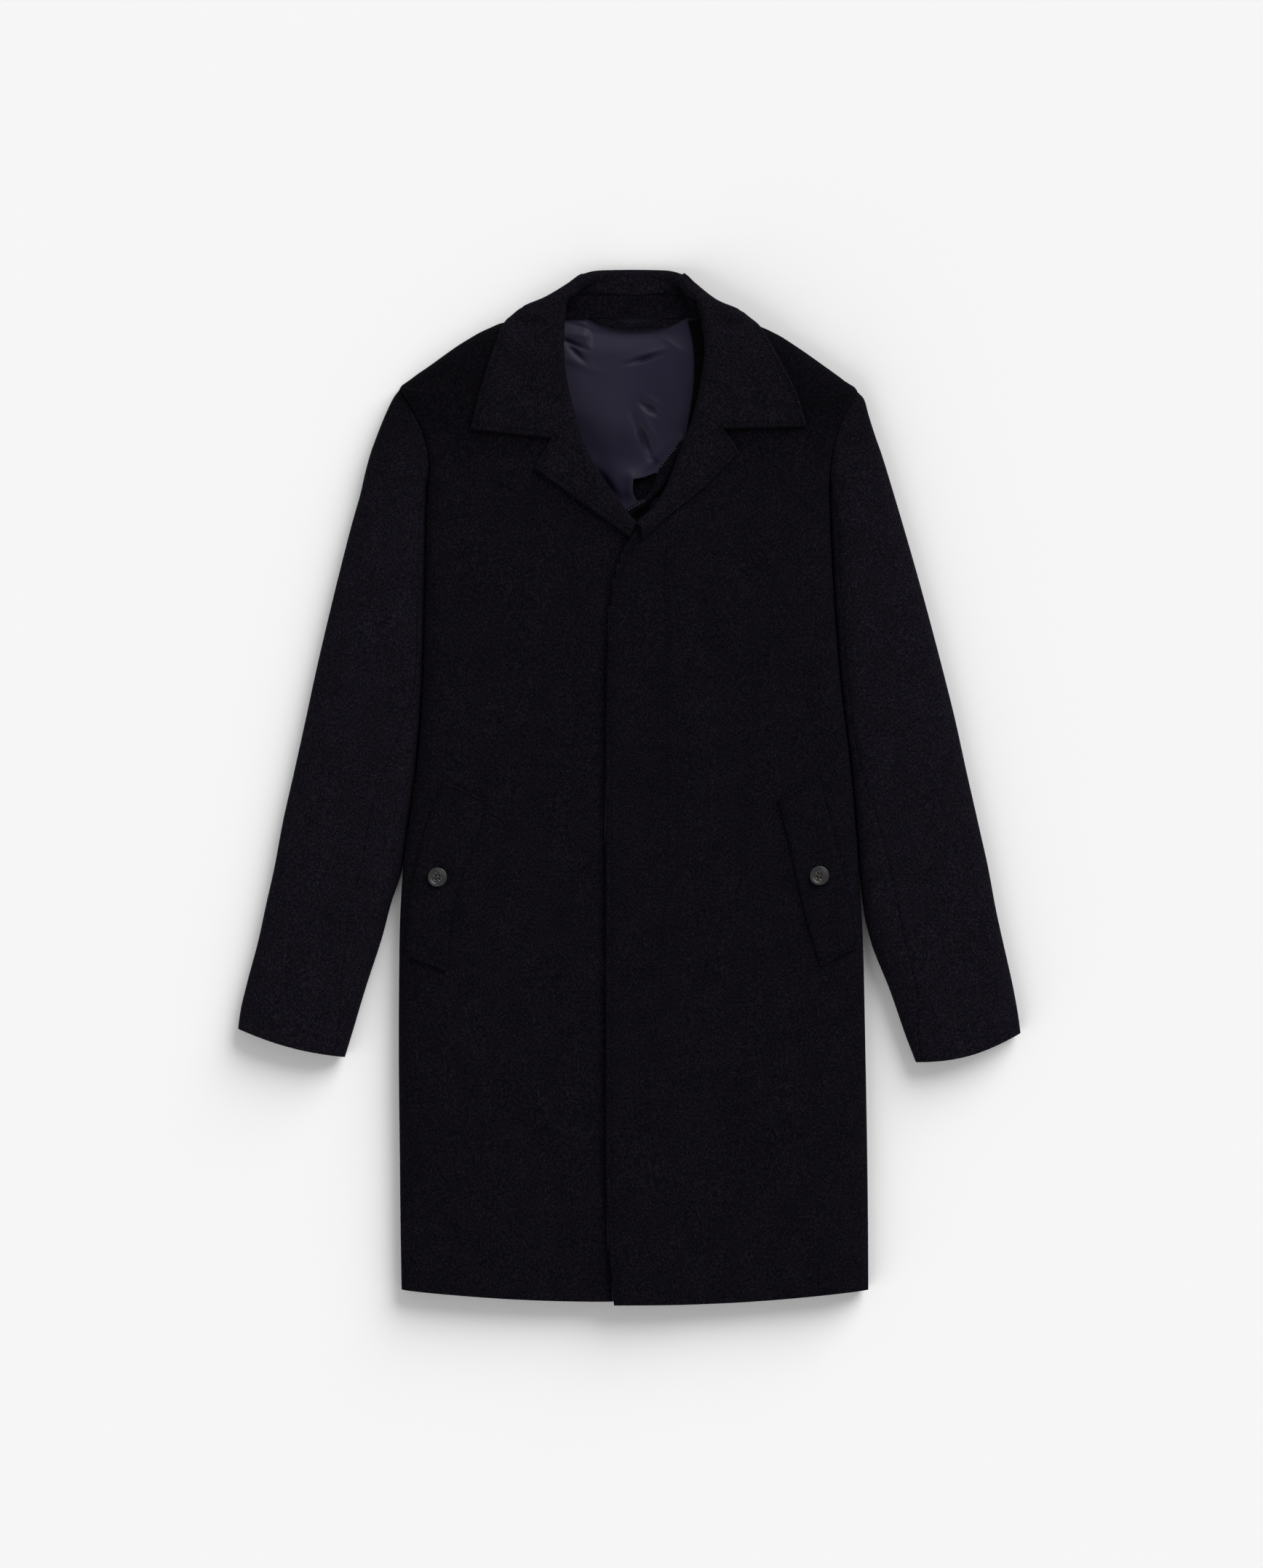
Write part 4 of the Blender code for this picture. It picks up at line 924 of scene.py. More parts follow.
@dataclass(frozen=True)
class BrushedWool:
    """Milled and brushed overcoat wool: a navy ground with warm and pale fibres, almost matt."""

    name: str = "brushed_wool_melton"
    ground: str = "#040509"
    warm: str = "#1b0f15"
    pale: str = "#18171e"
    sheen: str = "#a79fc0"
    fibre_pitch: float = 1.15  # mm; real tufts of the pile are about 0.4, drawn coarser so that they show
    tuft_stretch: float = 0.45  # how much longer a tuft is than it is wide, as a scale
    fibre_from: float = 0.5  # value of the tufts' noise where a fibre's colour begins to show
    fibre_to: float = 0.7
    twill_pitch: float = 1.4  # mm between twill lines; the real 0.7 is too fine to show
    twill_lean: float = math.radians(52.0)
    twill_depth: float = 0.25  # share of the twill in the relief of the face
    mottle_pitch: float = 22.0  # mm between places where the pile lies differently
    mottle: float = 0.12  # how much lighter or darker those places are
    stitch_width: float = 0.8  # mm half width of the channel that a row of stitches pulls in
    channel_shade: float = -0.6  # painted shade: how much darker the wool is drawn in a channel of stitches

    def material(self) -> Material:
        """Build the material; it reads the vertex values edge_mm and line_mm, and the value on the points by
        which light and shade are painted into the colour.

        Returns:
            The material.
        """
        matt = {"Roughness": 0.95, "Metallic": 0.0, "IOR": 1.5, "Specular IOR Level": 0.03}
        sheen = {"Sheen Weight": 0.012, "Sheen Roughness": 0.5, "Sheen Tint": linear(self.sheen)}
        material, shader, place = new_material(self.name, matt | sheen)
        tree = material.node_tree
        node = partial(add_node, tree)
        tufts = []
        for stretch in ((self.tuft_stretch, 1.0, 1.0), (1.0, self.tuft_stretch, 1.0)):
            laid = node("ShaderNodeMapping", None, {"Vector": place, "Scale": stretch})
            tufts.append(add_noise(tree, laid, self.fibre_pitch, 3.0, Roughness=0.66))
        colour = linear(self.ground)
        for tuft, fibre in zip(tufts, (self.warm, self.pale)):
            span = {"Value": tuft, "From Min": self.fibre_from, "From Max": self.fibre_to}
            colour = add_blend(tree, node("ShaderNodeMapRange", None, span), colour, fibre)
        swell = {"Value": add_noise(tree, place, self.mottle_pitch, 2.0), "From Min": 0.3, "From Max": 0.7}
        swell |= {"To Min": 1 - self.mottle, "To Max": 1 + self.mottle}
        shade = node("ShaderNodeMapRange", None, swell)
        channel = self.channels(tree)
        # painted shade: the wool is drawn darker in the channels along rows of stitches
        sunk = add_math(tree, "MULTIPLY_ADD", channel, self.channel_shade, 1.0)
        # painted light and shade: the colour is scaled up or down by a value kept on the points of each part
        painted_light_share = node("ShaderNodeAttribute", {"attribute_name": "nap"}).outputs["Fac"]
        light = add_math(tree, "MULTIPLY", add_math(tree, "MULTIPLY", shade, sunk), painted_light_share)
        scaled = {0: colour, "Scale": light.outputs[0]}
        final = node("ShaderNodeVectorMath", {"operation": "SCALE"}, scaled)
        tree.links.new(final.outputs[0], shader.inputs["Base Color"])
        turned = node("ShaderNodeMapping", None, {"Vector": place, "Rotation": (0.0, 0.0, self.twill_lean)})
        lines = {"Vector": turned, "Scale": wave_scale(self.twill_pitch), "Distortion": 2.2, "Detail": 2.0}
        twill = node("ShaderNodeTexWave", {"wave_type": "BANDS", "bands_direction": "X"}, lines)
        weave = add_math(tree, "MULTIPLY_ADD", twill.outputs["Fac"], self.twill_depth, tufts[1].outputs[0])
        fine = node("ShaderNodeBump", None, {"Height": weave, "Strength": 0.7, "Distance": 0.4 * MM})
        groove = add_math(tree, "MULTIPLY", channel, -1.0)
        sockets = {"Height": groove, "Strength": 0.6, "Distance": 0.45 * MM, "Normal": fine}
        tree.links.new(node("ShaderNodeBump", None, sockets).outputs[0], shader.inputs["Normal"])
        return material

    def channels(self, tree: NodeTree) -> NodeSocket:
        """The depth, 0 to 1, of the channels along rows of stitches.

        Args:
            tree: The material's tree.

        Returns:
            The socket that carries the depth.
        """
        depths = []
        for attribute, offset in (("edge_mm", EDGE_STITCH), ("line_mm", 0.0)):
            read = add_node(tree, "ShaderNodeAttribute", {"attribute_name": attribute})
            away = add_math(tree, "SUBTRACT", read.outputs["Fac"], offset)
            share = add_math(tree, "DIVIDE", away, self.stitch_width)
            depths.append(add_math(tree, "DIVIDE", 1.0, add_math(tree, "MULTIPLY_ADD", share, share, 1.0)))
        return add_math(tree, "MAXIMUM", *depths).outputs[0]


@dataclass(frozen=True)
class SatinLining:
    """Woven viscose satin: long floats along the cloth give a broad soft gleam across it."""

    name: str = "woven_satin_lining"
    ground: str = "#1b182a"
    deep: str = "#121020"
    sheen: str = "#a9aede"
    thread_pitch: float = 0.8  # mm; real threads are about 0.1, drawn as coarse as they can show
    float_stretch: float = 0.08  # how much longer a float is than it is wide, as a scale
    thread_share: float = 0.35  # how much of the colour's change follows the threads
    cloud_pitch: float = 1000.0 / 24.0  # mm between broad changes of colour

    def material(self) -> Material:
        """Build the material.

        Returns:
            The material.
        """
        gleam = {"Roughness": 0.58, "Metallic": 0.0, "IOR": 1.5, "Specular IOR Level": 0.16}
        gleam["Anisotropic"] = 0.3
        sheen = {"Sheen Weight": 0.03, "Sheen Roughness": 0.35, "Sheen Tint": linear(self.sheen)}
        material, shader, place = new_material(self.name, gleam | sheen)
        tree = material.node_tree
        along = {"Vector": place, "Scale": (1.0, self.float_stretch, 1.0)}
        laid = add_node(tree, "ShaderNodeMapping", None, along)
        threads = add_noise(tree, laid, self.thread_pitch, 2.0)
        broad = add_noise(tree, place, self.cloud_pitch, 2.0)
        share = add_math(tree, "MULTIPLY_ADD", threads, self.thread_share, broad.outputs[0])
        tree.links.new(add_blend(tree, share, self.deep, self.ground), shader.inputs["Base Color"])
        sockets = {"Height": threads, "Strength": 0.18, "Distance": 0.1 * MM}
        tree.links.new(add_node(tree, "ShaderNodeBump", None, sockets).outputs[0], shader.inputs["Normal"])
        return material


@dataclass(frozen=True)
class DarkHorn:
    """Turned and tumbled buffalo horn: streaked dark brown grey with a satin gleam on its rim."""

    name: str = "turned_buffalo_horn"
    dark: str = "#131315"
    pale: str = "#2b2b2c"
    streak_pitch: float = 2.4  # mm between growth streaks
    streak_stretch: float = 0.25
    streak_lean: float = math.radians(35.0)

    def material(self) -> Material:
        """Build the material.

        Returns:
            The material.
        """
        polish = {"Roughness": 0.36, "Metallic": 0.0, "IOR": 1.54, "Specular IOR Level": 0.4}
        material, shader, place = new_material(self.name, polish)
        tree = material.node_tree
        turn = {"Rotation": (0.0, 0.0, self.streak_lean), "Scale": (1.0, self.streak_stretch, 1.0)}
        turned = add_node(tree, "ShaderNodeMapping", None, {"Vector": place} | turn)
        streaks = add_noise(tree, turned, self.streak_pitch, 4.0)
        tree.links.new(add_blend(tree, streaks, self.dark, self.pale), shader.inputs["Base Color"])
        rough = add_node(tree, "ShaderNodeMapRange", None, {"Value": streaks, "To Min": 0.3, "To Max": 0.46})
        tree.links.new(rough.outputs[0], shader.inputs["Roughness"])
        return material


def wave_scale(pitch: float) -> float:
    """Scale of a wave texture whose bands are a pitch apart, in millimetres."""
    return 1.0 / (pitch * MM) / math.tau


@dataclass(frozen=True)
class SewingThread:
    """Twisted polyester thread, spun in two plies, with a gleam painted along each ply and shade painted
    between them.
    """

    name: str
    colour: str
    ply_pitch: float = 0.5  # mm along the thread between turns of the twist
    ply_shade: float = 0.6  # painted shade: how bright the thread is drawn between its plies

    def material(self) -> Material:
        """Build the material.

        Returns:
            The material.
        """
        spun = {"Roughness": 0.6, "Metallic": 0.0, "IOR": 1.5, "Specular IOR Level": 0.2}
        material, shader, place = new_material(self.name, spun)
        tree = material.node_tree
        bands = {"wave_type": "BANDS", "bands_direction": "DIAGONAL"}
        sockets = {"Vector": place, "Scale": wave_scale(self.ply_pitch), "Distortion": 1.0}
        twist = add_node(tree, "ShaderNodeTexWave", bands, sockets)
        low = (*(c * self.ply_shade for c in linear(self.colour)[:3]), 1.0)
        # painted highlight and shade: the colour is lighter along each ply and darker between them
        colour = add_blend(tree, twist.outputs["Fac"], low, self.colour)
        tree.links.new(colour, shader.inputs["Base Color"])
        return material


@dataclass(frozen=True)
class PaintedFloor:
    """Matt white painted board."""

    name: str = "matt_white_board"
    colour: str = "#ebebeb"
    brush_pitch: float = 1000.0 / 3.0  # mm between broad strokes
    brush_shade: float = 0.002  # how much lighter or darker a stroke is

    def material(self) -> Material:
        """Build the material.

        Returns:
            The material.
        """
        material, shader, place = new_material(self.name, {"Roughness": 1.0, "Specular IOR Level": 0.0})
        tree = material.node_tree
        grain = add_noise(tree, place, self.brush_pitch, 1.0)
        ends = {"Value": grain, "To Min": 1.0 - self.brush_shade, "To Max": 1.0 + self.brush_shade}
        shade = add_node(tree, "ShaderNodeMapRange", None, ends)
        tone = {0: linear(self.colour)[:3], "Scale": shade.outputs[0]}
        painted = add_node(tree, "ShaderNodeVectorMath", {"operation": "SCALE"}, tone)
        tree.links.new(painted.outputs[0], shader.inputs["Base Color"])
        return material


# ------------------------------------------------------------------ meshes
def shell_mesh(
    name: str,
    grid: Array,
    wall: Array | float,
    flip: bool = False,
    keep: Array | None = None,
    relief: Array | float = 0.0,
    values: dict[str, Array] | None = None,
    lined: bool = False,
    level: bool = False,
) -> Mesh:
    """A closed shell of cloth under a grid of points.

    Args:
        name: The mesh's name.
        grid: Rows x columns x 3 points of the outer face, millimetres.
        wall: Thickness, one for all or one for each point.
        flip: Whether the outer face looks the other way.
        keep: Rows x columns of cells that are cloth, or None for all.
        relief: What the outer face gains in height at each point.
        values: Distances, and the painted light and shade, kept on the points by attribute name.
        lined: Whether the inner face takes the second material.
        level: Whether the wall is measured straight up or down.

    Returns:
        The mesh, in metres.
    """
    shape = grid.shape[:2]
    count = shape[0] * shape[1]
    index = np.arange(count).reshape(shape)
    cells = np.stack([index[:-1, :-1], index[:-1, 1:], index[1:, 1:], index[1:, :-1]], axis=-1).reshape(-1, 4)
    cells = cells if keep is None else cells[keep.ravel()]
    cells = cells[:, ::-1] if flip else cells
    points = grid.reshape(-1, 3)
    corners = points[cells]
    facing = np.cross(corners[:, 2] - corners[:, 0], corners[:, 3] - corners[:, 1])
    normals = np.zeros_like(points)
    for corner in cells.T:
        np.add.at(normals, corner, facing)
    normals /= np.maximum(np.linalg.norm(normals, axis=1, keepdims=True), 1e-9)
    normals = np.array([0.0, 0.0, -1.0 if flip else 1.0]) if level else normals
    inner = points - normals * np.broadcast_to(wall, shape).reshape(-1, 1)
    outer = points + np.outer(np.broadcast_to(relief, shape).ravel(), (0.0, 0.0, 1.0))
    sides = np.stack([cells, np.roll(cells, -1, axis=1)], axis=-1).reshape(-1, 2)
    rim = sides[~np.isin(sides @ (count, 1), sides @ (1, count))]
    band = np.column_stack([rim[:, 1], rim[:, 0], rim[:, 0] + count, rim[:, 1] + count])
    faces = np.vstack([cells, band, cells[:, ::-1] + count])
    used, flat = np.unique(faces, return_inverse=True)
    mesh = bpy.data.meshes.new(name)
    mesh.from_pydata((np.vstack([outer, inner])[used] * MM).tolist(), [], flat.reshape(-1, 4).tolist())
    for key, usual in (("edge_mm", FAR), ("line_mm", FAR), ("nap", 1.0)):
        kept = np.tile(np.broadcast_to((values or {}).get(key, usual), shape).ravel(), 2)[used]
        mesh.attributes.new(key, "FLOAT", "POINT").data.foreach_set("value", kept.astype(np.float32))
    if lined:
        inside = np.arange(len(faces)) >= len(cells) + len(band)
        mesh.polygons.foreach_set("material_index", inside.astype(np.int32))
    mesh.shade_smooth()
    mesh.set_sharp_from_angle(angle=SHARP)
    return mesh


def add_piece(name: str, mesh: Mesh, *materials: Material) -> Object:
    """Link a mesh as a named object.

    Args:
        name: The object's name.
        mesh: Its mesh.
        materials: Its materials, in order.

    Returns:
        The object.
    """
    for material in materials:
        mesh.materials.append(material)
    piece = bpy.data.objects.new(name, mesh)
    bpy.context.scene.collection.objects.link(piece)
    return piece


class Sheet(NamedTuple):
    """The cut of a panel: its width and length in metres, and its flat area."""

    width: float
    length: float
    area: float


@dataclass
class Wardrobe:
    """The finishes, each made once, and the way in which a panel is made in them."""

    wool: Material = field(default_factory=BrushedWool().material)
    satin: Material = field(default_factory=SatinLining().material)
    horn: Material = field(default_factory=DarkHorn().material)
    thread: Material = field(default_factory=SewingThread("navy_polyester_thread", "#07070c").material)
    felling: Material = field(default_factory=SewingThread("grey_felling_thread", "#7c798c").material)
    button_thread: Material = field(default_factory=SewingThread("brown_button_thread", "#3c2112").material)

    def lay(
        self,
        name: str,
        grid: Array,
        wall: Array | float,
        rests_on: Sequence[str],
        held: str = "laid",
        keep: Array | None = None,
        added: bool = False,
        **shell: object,
    ) -> Object:
        """Args:
            name: The panel's name: the node that it replaces, then "cloth" or "satin".
            grid: Rows x columns x 3 points of its outer face, millimetres.
            wall: Its thickness.
            rests_on: What it lies on or hangs from; not used.
            held: How the cloth is held; not used.
            keep: The cells that are cloth, or None for all.
            added: Whether it replaces no node.
            shell: What else shell_mesh is told.

        Returns:
            The panel.
        """
        node, kind = name.rsplit("_", 1)
        outside, slot = (self.satin, "satin") if kind == "satin" else (self.wool, "wool")
        mesh = shell_mesh(name, grid, wall, keep=keep, **shell)
        piece = add_piece(name, mesh, outside, *([self.satin] if shell.get("lined") else []))
        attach(piece, "root")
        if not added:
            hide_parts(node)
        return piece


# ------------------------------------------------------------------ sewing
@dataclass
class StitchRow:
    """Lockstitches along lines that lie on the cloth, made by Geometry Nodes."""

    name: str
    pitch: float = 3.3  # mm from stitch to stitch
    length: float = 2.6  # mm of thread that shows in each stitch
    thread: float = 0.55  # mm
    seed: int = 7
    shortest: float = 0.88  # share of the length that the shortest stitch shows
    longest: float = 1.06

    def tree(self) -> NodeTree:
        """Build the node tree with its named inputs.

        Returns:
            The tree.
        """
        tree = bpy.data.node_groups.new(self.name, "GeometryNodeTree")
        face = tree.interface
        face.new_socket("Geometry", in_out="INPUT", socket_type="NodeSocketGeometry")
        for label in ("Pitch", "Stitch length", "Thread width"):
            face.new_socket(label, in_out="INPUT", socket_type="NodeSocketFloat")
        face.new_socket("Seed", in_out="INPUT", socket_type="NodeSocketInt")
        face.new_socket("Thread", in_out="INPUT", socket_type="NodeSocketMaterial")
        face.new_socket("Geometry", in_out="OUTPUT", socket_type="NodeSocketGeometry")
        node = partial(add_node, tree)
        given = node("NodeGroupInput").outputs
        curve = node("GeometryNodeMeshToCurve", None, {"Mesh": given["Geometry"]})
        spaced = {"Curve": curve, "Length": given["Pitch"]}
        marks = node("GeometryNodeCurveToPoints", {"mode": "LENGTH"}, spaced)
        tangent = {"Vector": marks.outputs["Tangent"]}
        facing = node("FunctionNodeAlignRotationToVector", {"axis": "X"}, tangent)
        span = {2: self.shortest, 3: self.longest, "Seed": given["Seed"]}
        wander = node("FunctionNodeRandomValue", {"data_type": "FLOAT"}, span)
        long = add_math(tree, "MULTIPLY", given["Stitch length"], wander.outputs[1])
        width = given["Thread width"]
        size = node("ShaderNodeCombineXYZ", None, {"X": long, "Y": width, "Z": width})
        bead = node("GeometryNodeMeshUVSphere", None, {"Segments": 7, "Rings": 5, "Radius": 0.5})
        smooth = node("GeometryNodeSetShadeSmooth", None, {"Geometry": bead.outputs["Mesh"]})
        bead_at = {"Points": marks.outputs["Points"], "Instance": smooth, "Rotation": facing, "Scale": size}
        laid = node("GeometryNodeInstanceOnPoints", None, bead_at)
        real = node("GeometryNodeRealizeInstances", None, {"Geometry": laid})
        dyed = node("GeometryNodeSetMaterial", None, {"Geometry": real, "Material": given["Thread"]})
        node("NodeGroupOutput", None, {"Geometry": dyed})
        return tree

    def sew(self, lines: Sequence[Array], thread: Material) -> Object:
        """Args:
            lines: Each line's points, millimetres.
            thread: The thread's material.

        Returns:
            The stitches as one plain mesh object.
        """
        points, edges = [], []
        for line in lines:
            start = len(points)
            points.extend((np.asarray(line) * MM).tolist())
            edges.extend((start + k, start + k + 1) for k in range(len(line) - 1))
        mesh = bpy.data.meshes.new(self.name)
        mesh.from_pydata(points, edges, [])
        piece = add_piece(self.name, mesh)
        tree = self.tree()
        modifier = piece.modifiers.new("sewing", "NODES")
        modifier.node_group = tree
        values = {
            "Pitch": self.pitch * MM,
            "Stitch length": self.length * MM,
            "Thread width": self.thread * MM,
            "Seed": self.seed,
            "Thread": thread,
        }
        for socket in tree.interface.items_tree:
            if socket.in_out == "INPUT" and socket.name in values:
                modifier[socket.identifier] = values[socket.name]
        made_plain(piece, thread)
        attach(piece, "root")
        return piece


def made_plain(piece: Object, material: Material | None = None) -> Object:
    """Turn an object's evaluated shape into its own mesh and drop its modifiers.

    Args:
        piece: The object.
        material: Its one material, or None to keep those that it has.

    Returns:
        The same object.
    """
    bpy.context.view_layer.update()
    evaluated = piece.evaluated_get(bpy.context.evaluated_depsgraph_get())
    mesh = bpy.data.meshes.new_from_object(evaluated)
    piece.modifiers.clear()
    piece.data = mesh
    if material is not None:
        mesh.materials.clear()
        mesh.materials.append(material)
    return piece


def inset_line(outline: Array, inset: float, inside: tuple[float, float]) -> Array:
    """Plan points of a line that runs inside an open outline.

    Args:
        outline: Plan points of a finished edge.
        inset: Distance inwards, millimetres.
        inside: A plan place on the cloth's side of the outline.

    Returns:
        The line's points.
    """
    dense = dense_line(outline, LINE_STEP)
    along = unit(np.gradient(dense, axis=0))
    across = np.column_stack([-along[:, 1], along[:, 0]])
    middle = len(dense) // 2
    across *= np.sign(float(across[middle] @ (np.array(inside) - dense[middle])))
    inner = dense + across * inset
    return inner[line_distance(inner, dense)[0] > inset * 0.96]


def lay_on(piece: Object, plan: Array, sink: float = 0.12) -> Array:
    """Lay a plan line on a piece from above.

    Args:
        piece: The piece, plain and at the origin.
        plan: The line's plan points, millimetres.
        sink: How deep the line lies in the cloth.

    Returns:
        Space points, one for each that meets the piece.
    """
    mesh = piece.data
    tree = BVHTree.FromPolygons([v.co for v in mesh.vertices], [tuple(p.vertices) for p in mesh.polygons])
    hits = [tree.ray_cast(Vector((x * MM, y * MM, 0.2)), Vector((0.0, 0.0, -1.0)))[0] for x, y in plan]
    return np.array([tuple(hit / MM) for hit in hits if hit is not None]) - (0.0, 0.0, sink)


def with_edges(at: Array, first: float, last: float) -> Array:
    """Row numbers with the fine stations of a finished edge added near both ends.

    Args:
        at: The row numbers.
        first: Length of the first row, millimetres, or 0 for no edge there.
        last: Length of the last row, or 0.

    Returns:
        All the row numbers.
    """
    near = np.array(NEAR_EDGE[:-1])
    extra = [near / first] if first else []
    extra += [at[-1] - near / last] if last else []
    return np.unique(np.round(np.concatenate([at, *extra]), 5))


def dense_line(points: Sequence[tuple[float, float]], step: float, rounding: int = 0) -> Array:
    """A plan polyline at even steps.

    Args:
        points: Its corners.
        step: Distance between its points, millimetres.
        rounding: How often neighbours are averaged to round the corners.

    Returns:
        The line's points.
    """
    corners = np.asarray(points, float)
    length = np.concatenate([[0.0], np.cumsum(np.linalg.norm(np.diff(corners, axis=0), axis=1))])
    marks = np.linspace(0, length[-1], max(2, int(length[-1] / step)))
    line = np.column_stack([np.interp(marks, length, corners[:, axis]) for axis in range(2)])
    for _ in range(rounding):
        line[1:-1] = (line[:-2] + 2 * line[1:-1] + line[2:]) / 4
    return line


FLY_PATH = dense_line(FLY_LINE, 2.0, 60)


def soft_edge(away: Array) -> Array:
    """How far a rounded edge has dropped at distances from it."""
    inward = np.clip(EDGE_ROUND - away, 0.0, EDGE_ROUND)
    return EDGE_ROUND - np.sqrt(EDGE_ROUND**2 - inward**2)


def leaf_relief(edge: Array) -> Array:
    """What a stitched, folded edge gains and loses in height near its edge."""
    full = EDGE_FULL * bell(edge - EDGE_STITCH / 2, EDGE_FULL_WIDTH)
    return full - CHANNEL * bell(edge - EDGE_STITCH, CHANNEL_WIDTH) - soft_edge(edge)


# ------------------------------------------------------------------ the body
@dataclass
class FrontPanel:
    """A front: from its inner edge over the side fold to the side seam underneath."""

    side: Side
    wardrobe: Wardrobe
    cell: float = 4.2
    nominal_width: float = 252.0
    past_edge: tuple[float, float] = (12.0, 16.0)  # two stations more before the even ones
    middle_points: int = 42
    fold_points: int = 20
    fold_share: float = 0.23  # last share of the width that is sampled finely for the rounding
    hem_row: float = 72.0  # length of the first row of the table
    most_turned: float = 0.8  # largest share of its width that a row turns under
    turn_share: float = 0.6  # share of the turned cloth that the rounding takes
    allowance_start: float = 0.8  # rows below the shoulder where the armhole's allowance starts to grow
    allowance_rows: float = 1.2  # over how many rows it grows
    allowance_reach: float = 9.0  # what it gains in reach
    seam_rows: float = 0.45  # rows in which the back's seam moves from the turned edge to the fold
    dip: float = 3.2  # how far the under front is pressed in along the closing
    dip_width: float = 6.5
    deepest: float = 3.4
    fly_channel: float = 0.3
    fly_width: float = 2.0

    def __post_init__(self) -> None:
        """Work out the grid."""
        rows = FRONT_ROWS[self.side]
        marks = np.linspace(0, len(rows) - 1, 900)
        lines = [plan_of(rows, name, marks) for name in ("edge", "side")]
        seams = [UNDERARM + 0.02, SHOULDER - 0.02]
        self.at = with_edges(np.concatenate([even_rows(lines, marks, self.cell), seams]), self.hem_row, 0)
        near = np.array([*NEAR_EDGE[::-1], *self.past_edge]) / self.nominal_width
        middle = np.linspace(near[-1], 1 - self.fold_share, self.middle_points)[1:]
        turn = np.linspace(0, math.pi / 2, self.fold_points)[1:]
        fold = 1 - self.fold_share * (1 - np.sin(turn))
        self.shares = np.concatenate([near, middle, fold])
        self.top_count = len(self.shares)
        edge, side = plan_of(rows, "edge", self.at), plan_of(rows, "side", self.at)
        fold_z = column(rows, "fold_z", self.at)
        bow = HEM_BOW * np.clip(1.0 - self.at, 0.0, 1.0)
        plan = edge[:, None] + (side - edge)[:, None] * self.shares[None, :, None]
        plan[..., 1] -= bow[:, None] * np.sin(np.pi * self.shares)
        height = front_top(self.side, plan[..., 0], plan[..., 1])
        height[:, -1] = fold_z
        top = np.dstack([plan, height])
        under = []
        wrapped = self.wrapped()
        wide = np.linalg.norm(side - edge, axis=1)
        inward = unit(edge - side)
        run = np.minimum(TURN_UNDER, self.most_turned * wide)
        self.turned = side + inward * run[:, None]
        for i, top_z in enumerate(fold_z):
            if wrapped[i]:
                reach = self.turn_share * run[i]
                under.append(lower_fold(side[i], inward[i], top_z, back_rise, reach, run[i]))
            else:
                below = float(ramp(self.at[i], SHOULDER - self.allowance_start, -self.allowance_rows))
                reach = 1.0 + self.allowance_reach * below
                out = side[i] - inward[i] * reach * ALLOWANCE[:, :1]
                under.append(np.column_stack([out, top_z - ALLOWANCE[:, 1]]))
        self.grid = np.concatenate([top, np.array(under)], axis=1)

    def wrapped(self) -> Array:
        """Whether each row turns under: along the side and along the shoulder."""
        return (self.at <= UNDERARM + 1e-6) | (self.at >= SHOULDER - 1e-6)

    def seam(self) -> Array:
        """Plan points where the back begins.

        Returns:
            The points, one for each row.
        """
        inside = np.minimum(self.at - UNDERARM, SHOULDER - self.at)
        beside = np.clip(inside / self.seam_rows, 0.0, 1.0)[:, None]
        inner = self.turned * (1 - beside) + self.grid[:, self.top_count - 1, :2] * beside
        return inner + unit(self.grid[:, 0, :2] - inner) * SEAM

    def top(self, x: Array, y: Array) -> Array:
        """Height of this front's outer face."""
        return front_top(self.side, x, y)

    def edge_line(self) -> Array:
        """Plan points of the edge that shows below the lapels, from hem to closing."""
        return self.grid[self.at <= CLOSING_ROW, 0, :2]

    def build(self) -> Object:
        """Make the panel with its seams and edges.

        Returns:
            The panel.
        """
        cloth = np.ones((len(self.at) - 1, self.grid.shape[1] - 1), bool)
        wrapped = self.wrapped()
        cloth[:, self.top_count - 1 :] = (wrapped[:-1] == wrapped[1:])[:, None]
        edge = line_distance(self.grid, self.edge_line()[::2])[0]
        line = np.full(edge.shape, FAR)
        relief = -soft_edge(np.abs(self.grid[..., 1] - self.grid[:1, :, 1]))
        if self.side is Side.RIGHT:  # it dips where the other front lies on it
            over = plan_of(FRONT_LEFT, "edge", np.linspace(0.0, CLOSING_ROW, 120))
            relief -= self.dip * bell(line_distance(self.grid, over)[0], self.dip_width)
        else:
            line = line_distance(self.grid, FLY_PATH[::3], signed=True)[0]
            relief += leaf_relief(edge) - self.fly_channel * bell(line, self.fly_width)
        relief[:, self.top_count :] = 0.0
        # painted shade: the fronts are drawn darker toward the shoulder
        nap = 1.0 + (PAINTED_LIGHT["shoulder"] - 1.0) * ramp(self.grid[..., 1], *PAINTED_LIGHT_DARKENS)
        shell = {"flip": self.side is Side.RIGHT, "relief": np.maximum(relief, -self.deepest), "lined": True}
        shell["values"] = {"edge_mm": edge, "line_mm": line, "nap": nap}
        name = f"front_{self.side.value}_cloth"
        return self.wardrobe.lay(name, self.grid, SHELL, ["back"], keep=cloth, **shell)


@dataclass
class BackPanel:
    """The back: one flat panel between the seams of both fronts, over the collar at the neck."""

    right: FrontPanel
    left: FrontPanel
    wardrobe: Wardrobe
    columns: int = 90

    def build(self) -> Object:
        """Make the panel.

        Returns:
            The panel.
        """
        marks = self.right.at
        seams = []
        for front in (self.right, self.left):
            seam = front.seam()
            seam[:, 1] = np.maximum.accumulate(seam[:, 1])
            seams.append(np.column_stack([np.interp(marks, front.at, seam[:, axis]) for axis in range(2)]))
        shares = np.linspace(0, 1, self.columns)
        plan = seams[0][:, None] + (seams[1] - seams[0])[:, None] * shares[None, :, None]
        plan[..., 1] -= HEM_BOW * np.maximum(0.0, 1.0 - marks)[:, None] * np.sin(np.pi * shares)
        grid = np.dstack([plan, back_rise(plan[..., 0], plan[..., 1])])
        shell = {"flip": True, "lined": True, "level": True}
        return self.wardrobe.lay("back_cloth", grid, SHELL, ["collar_fall"], **shell)


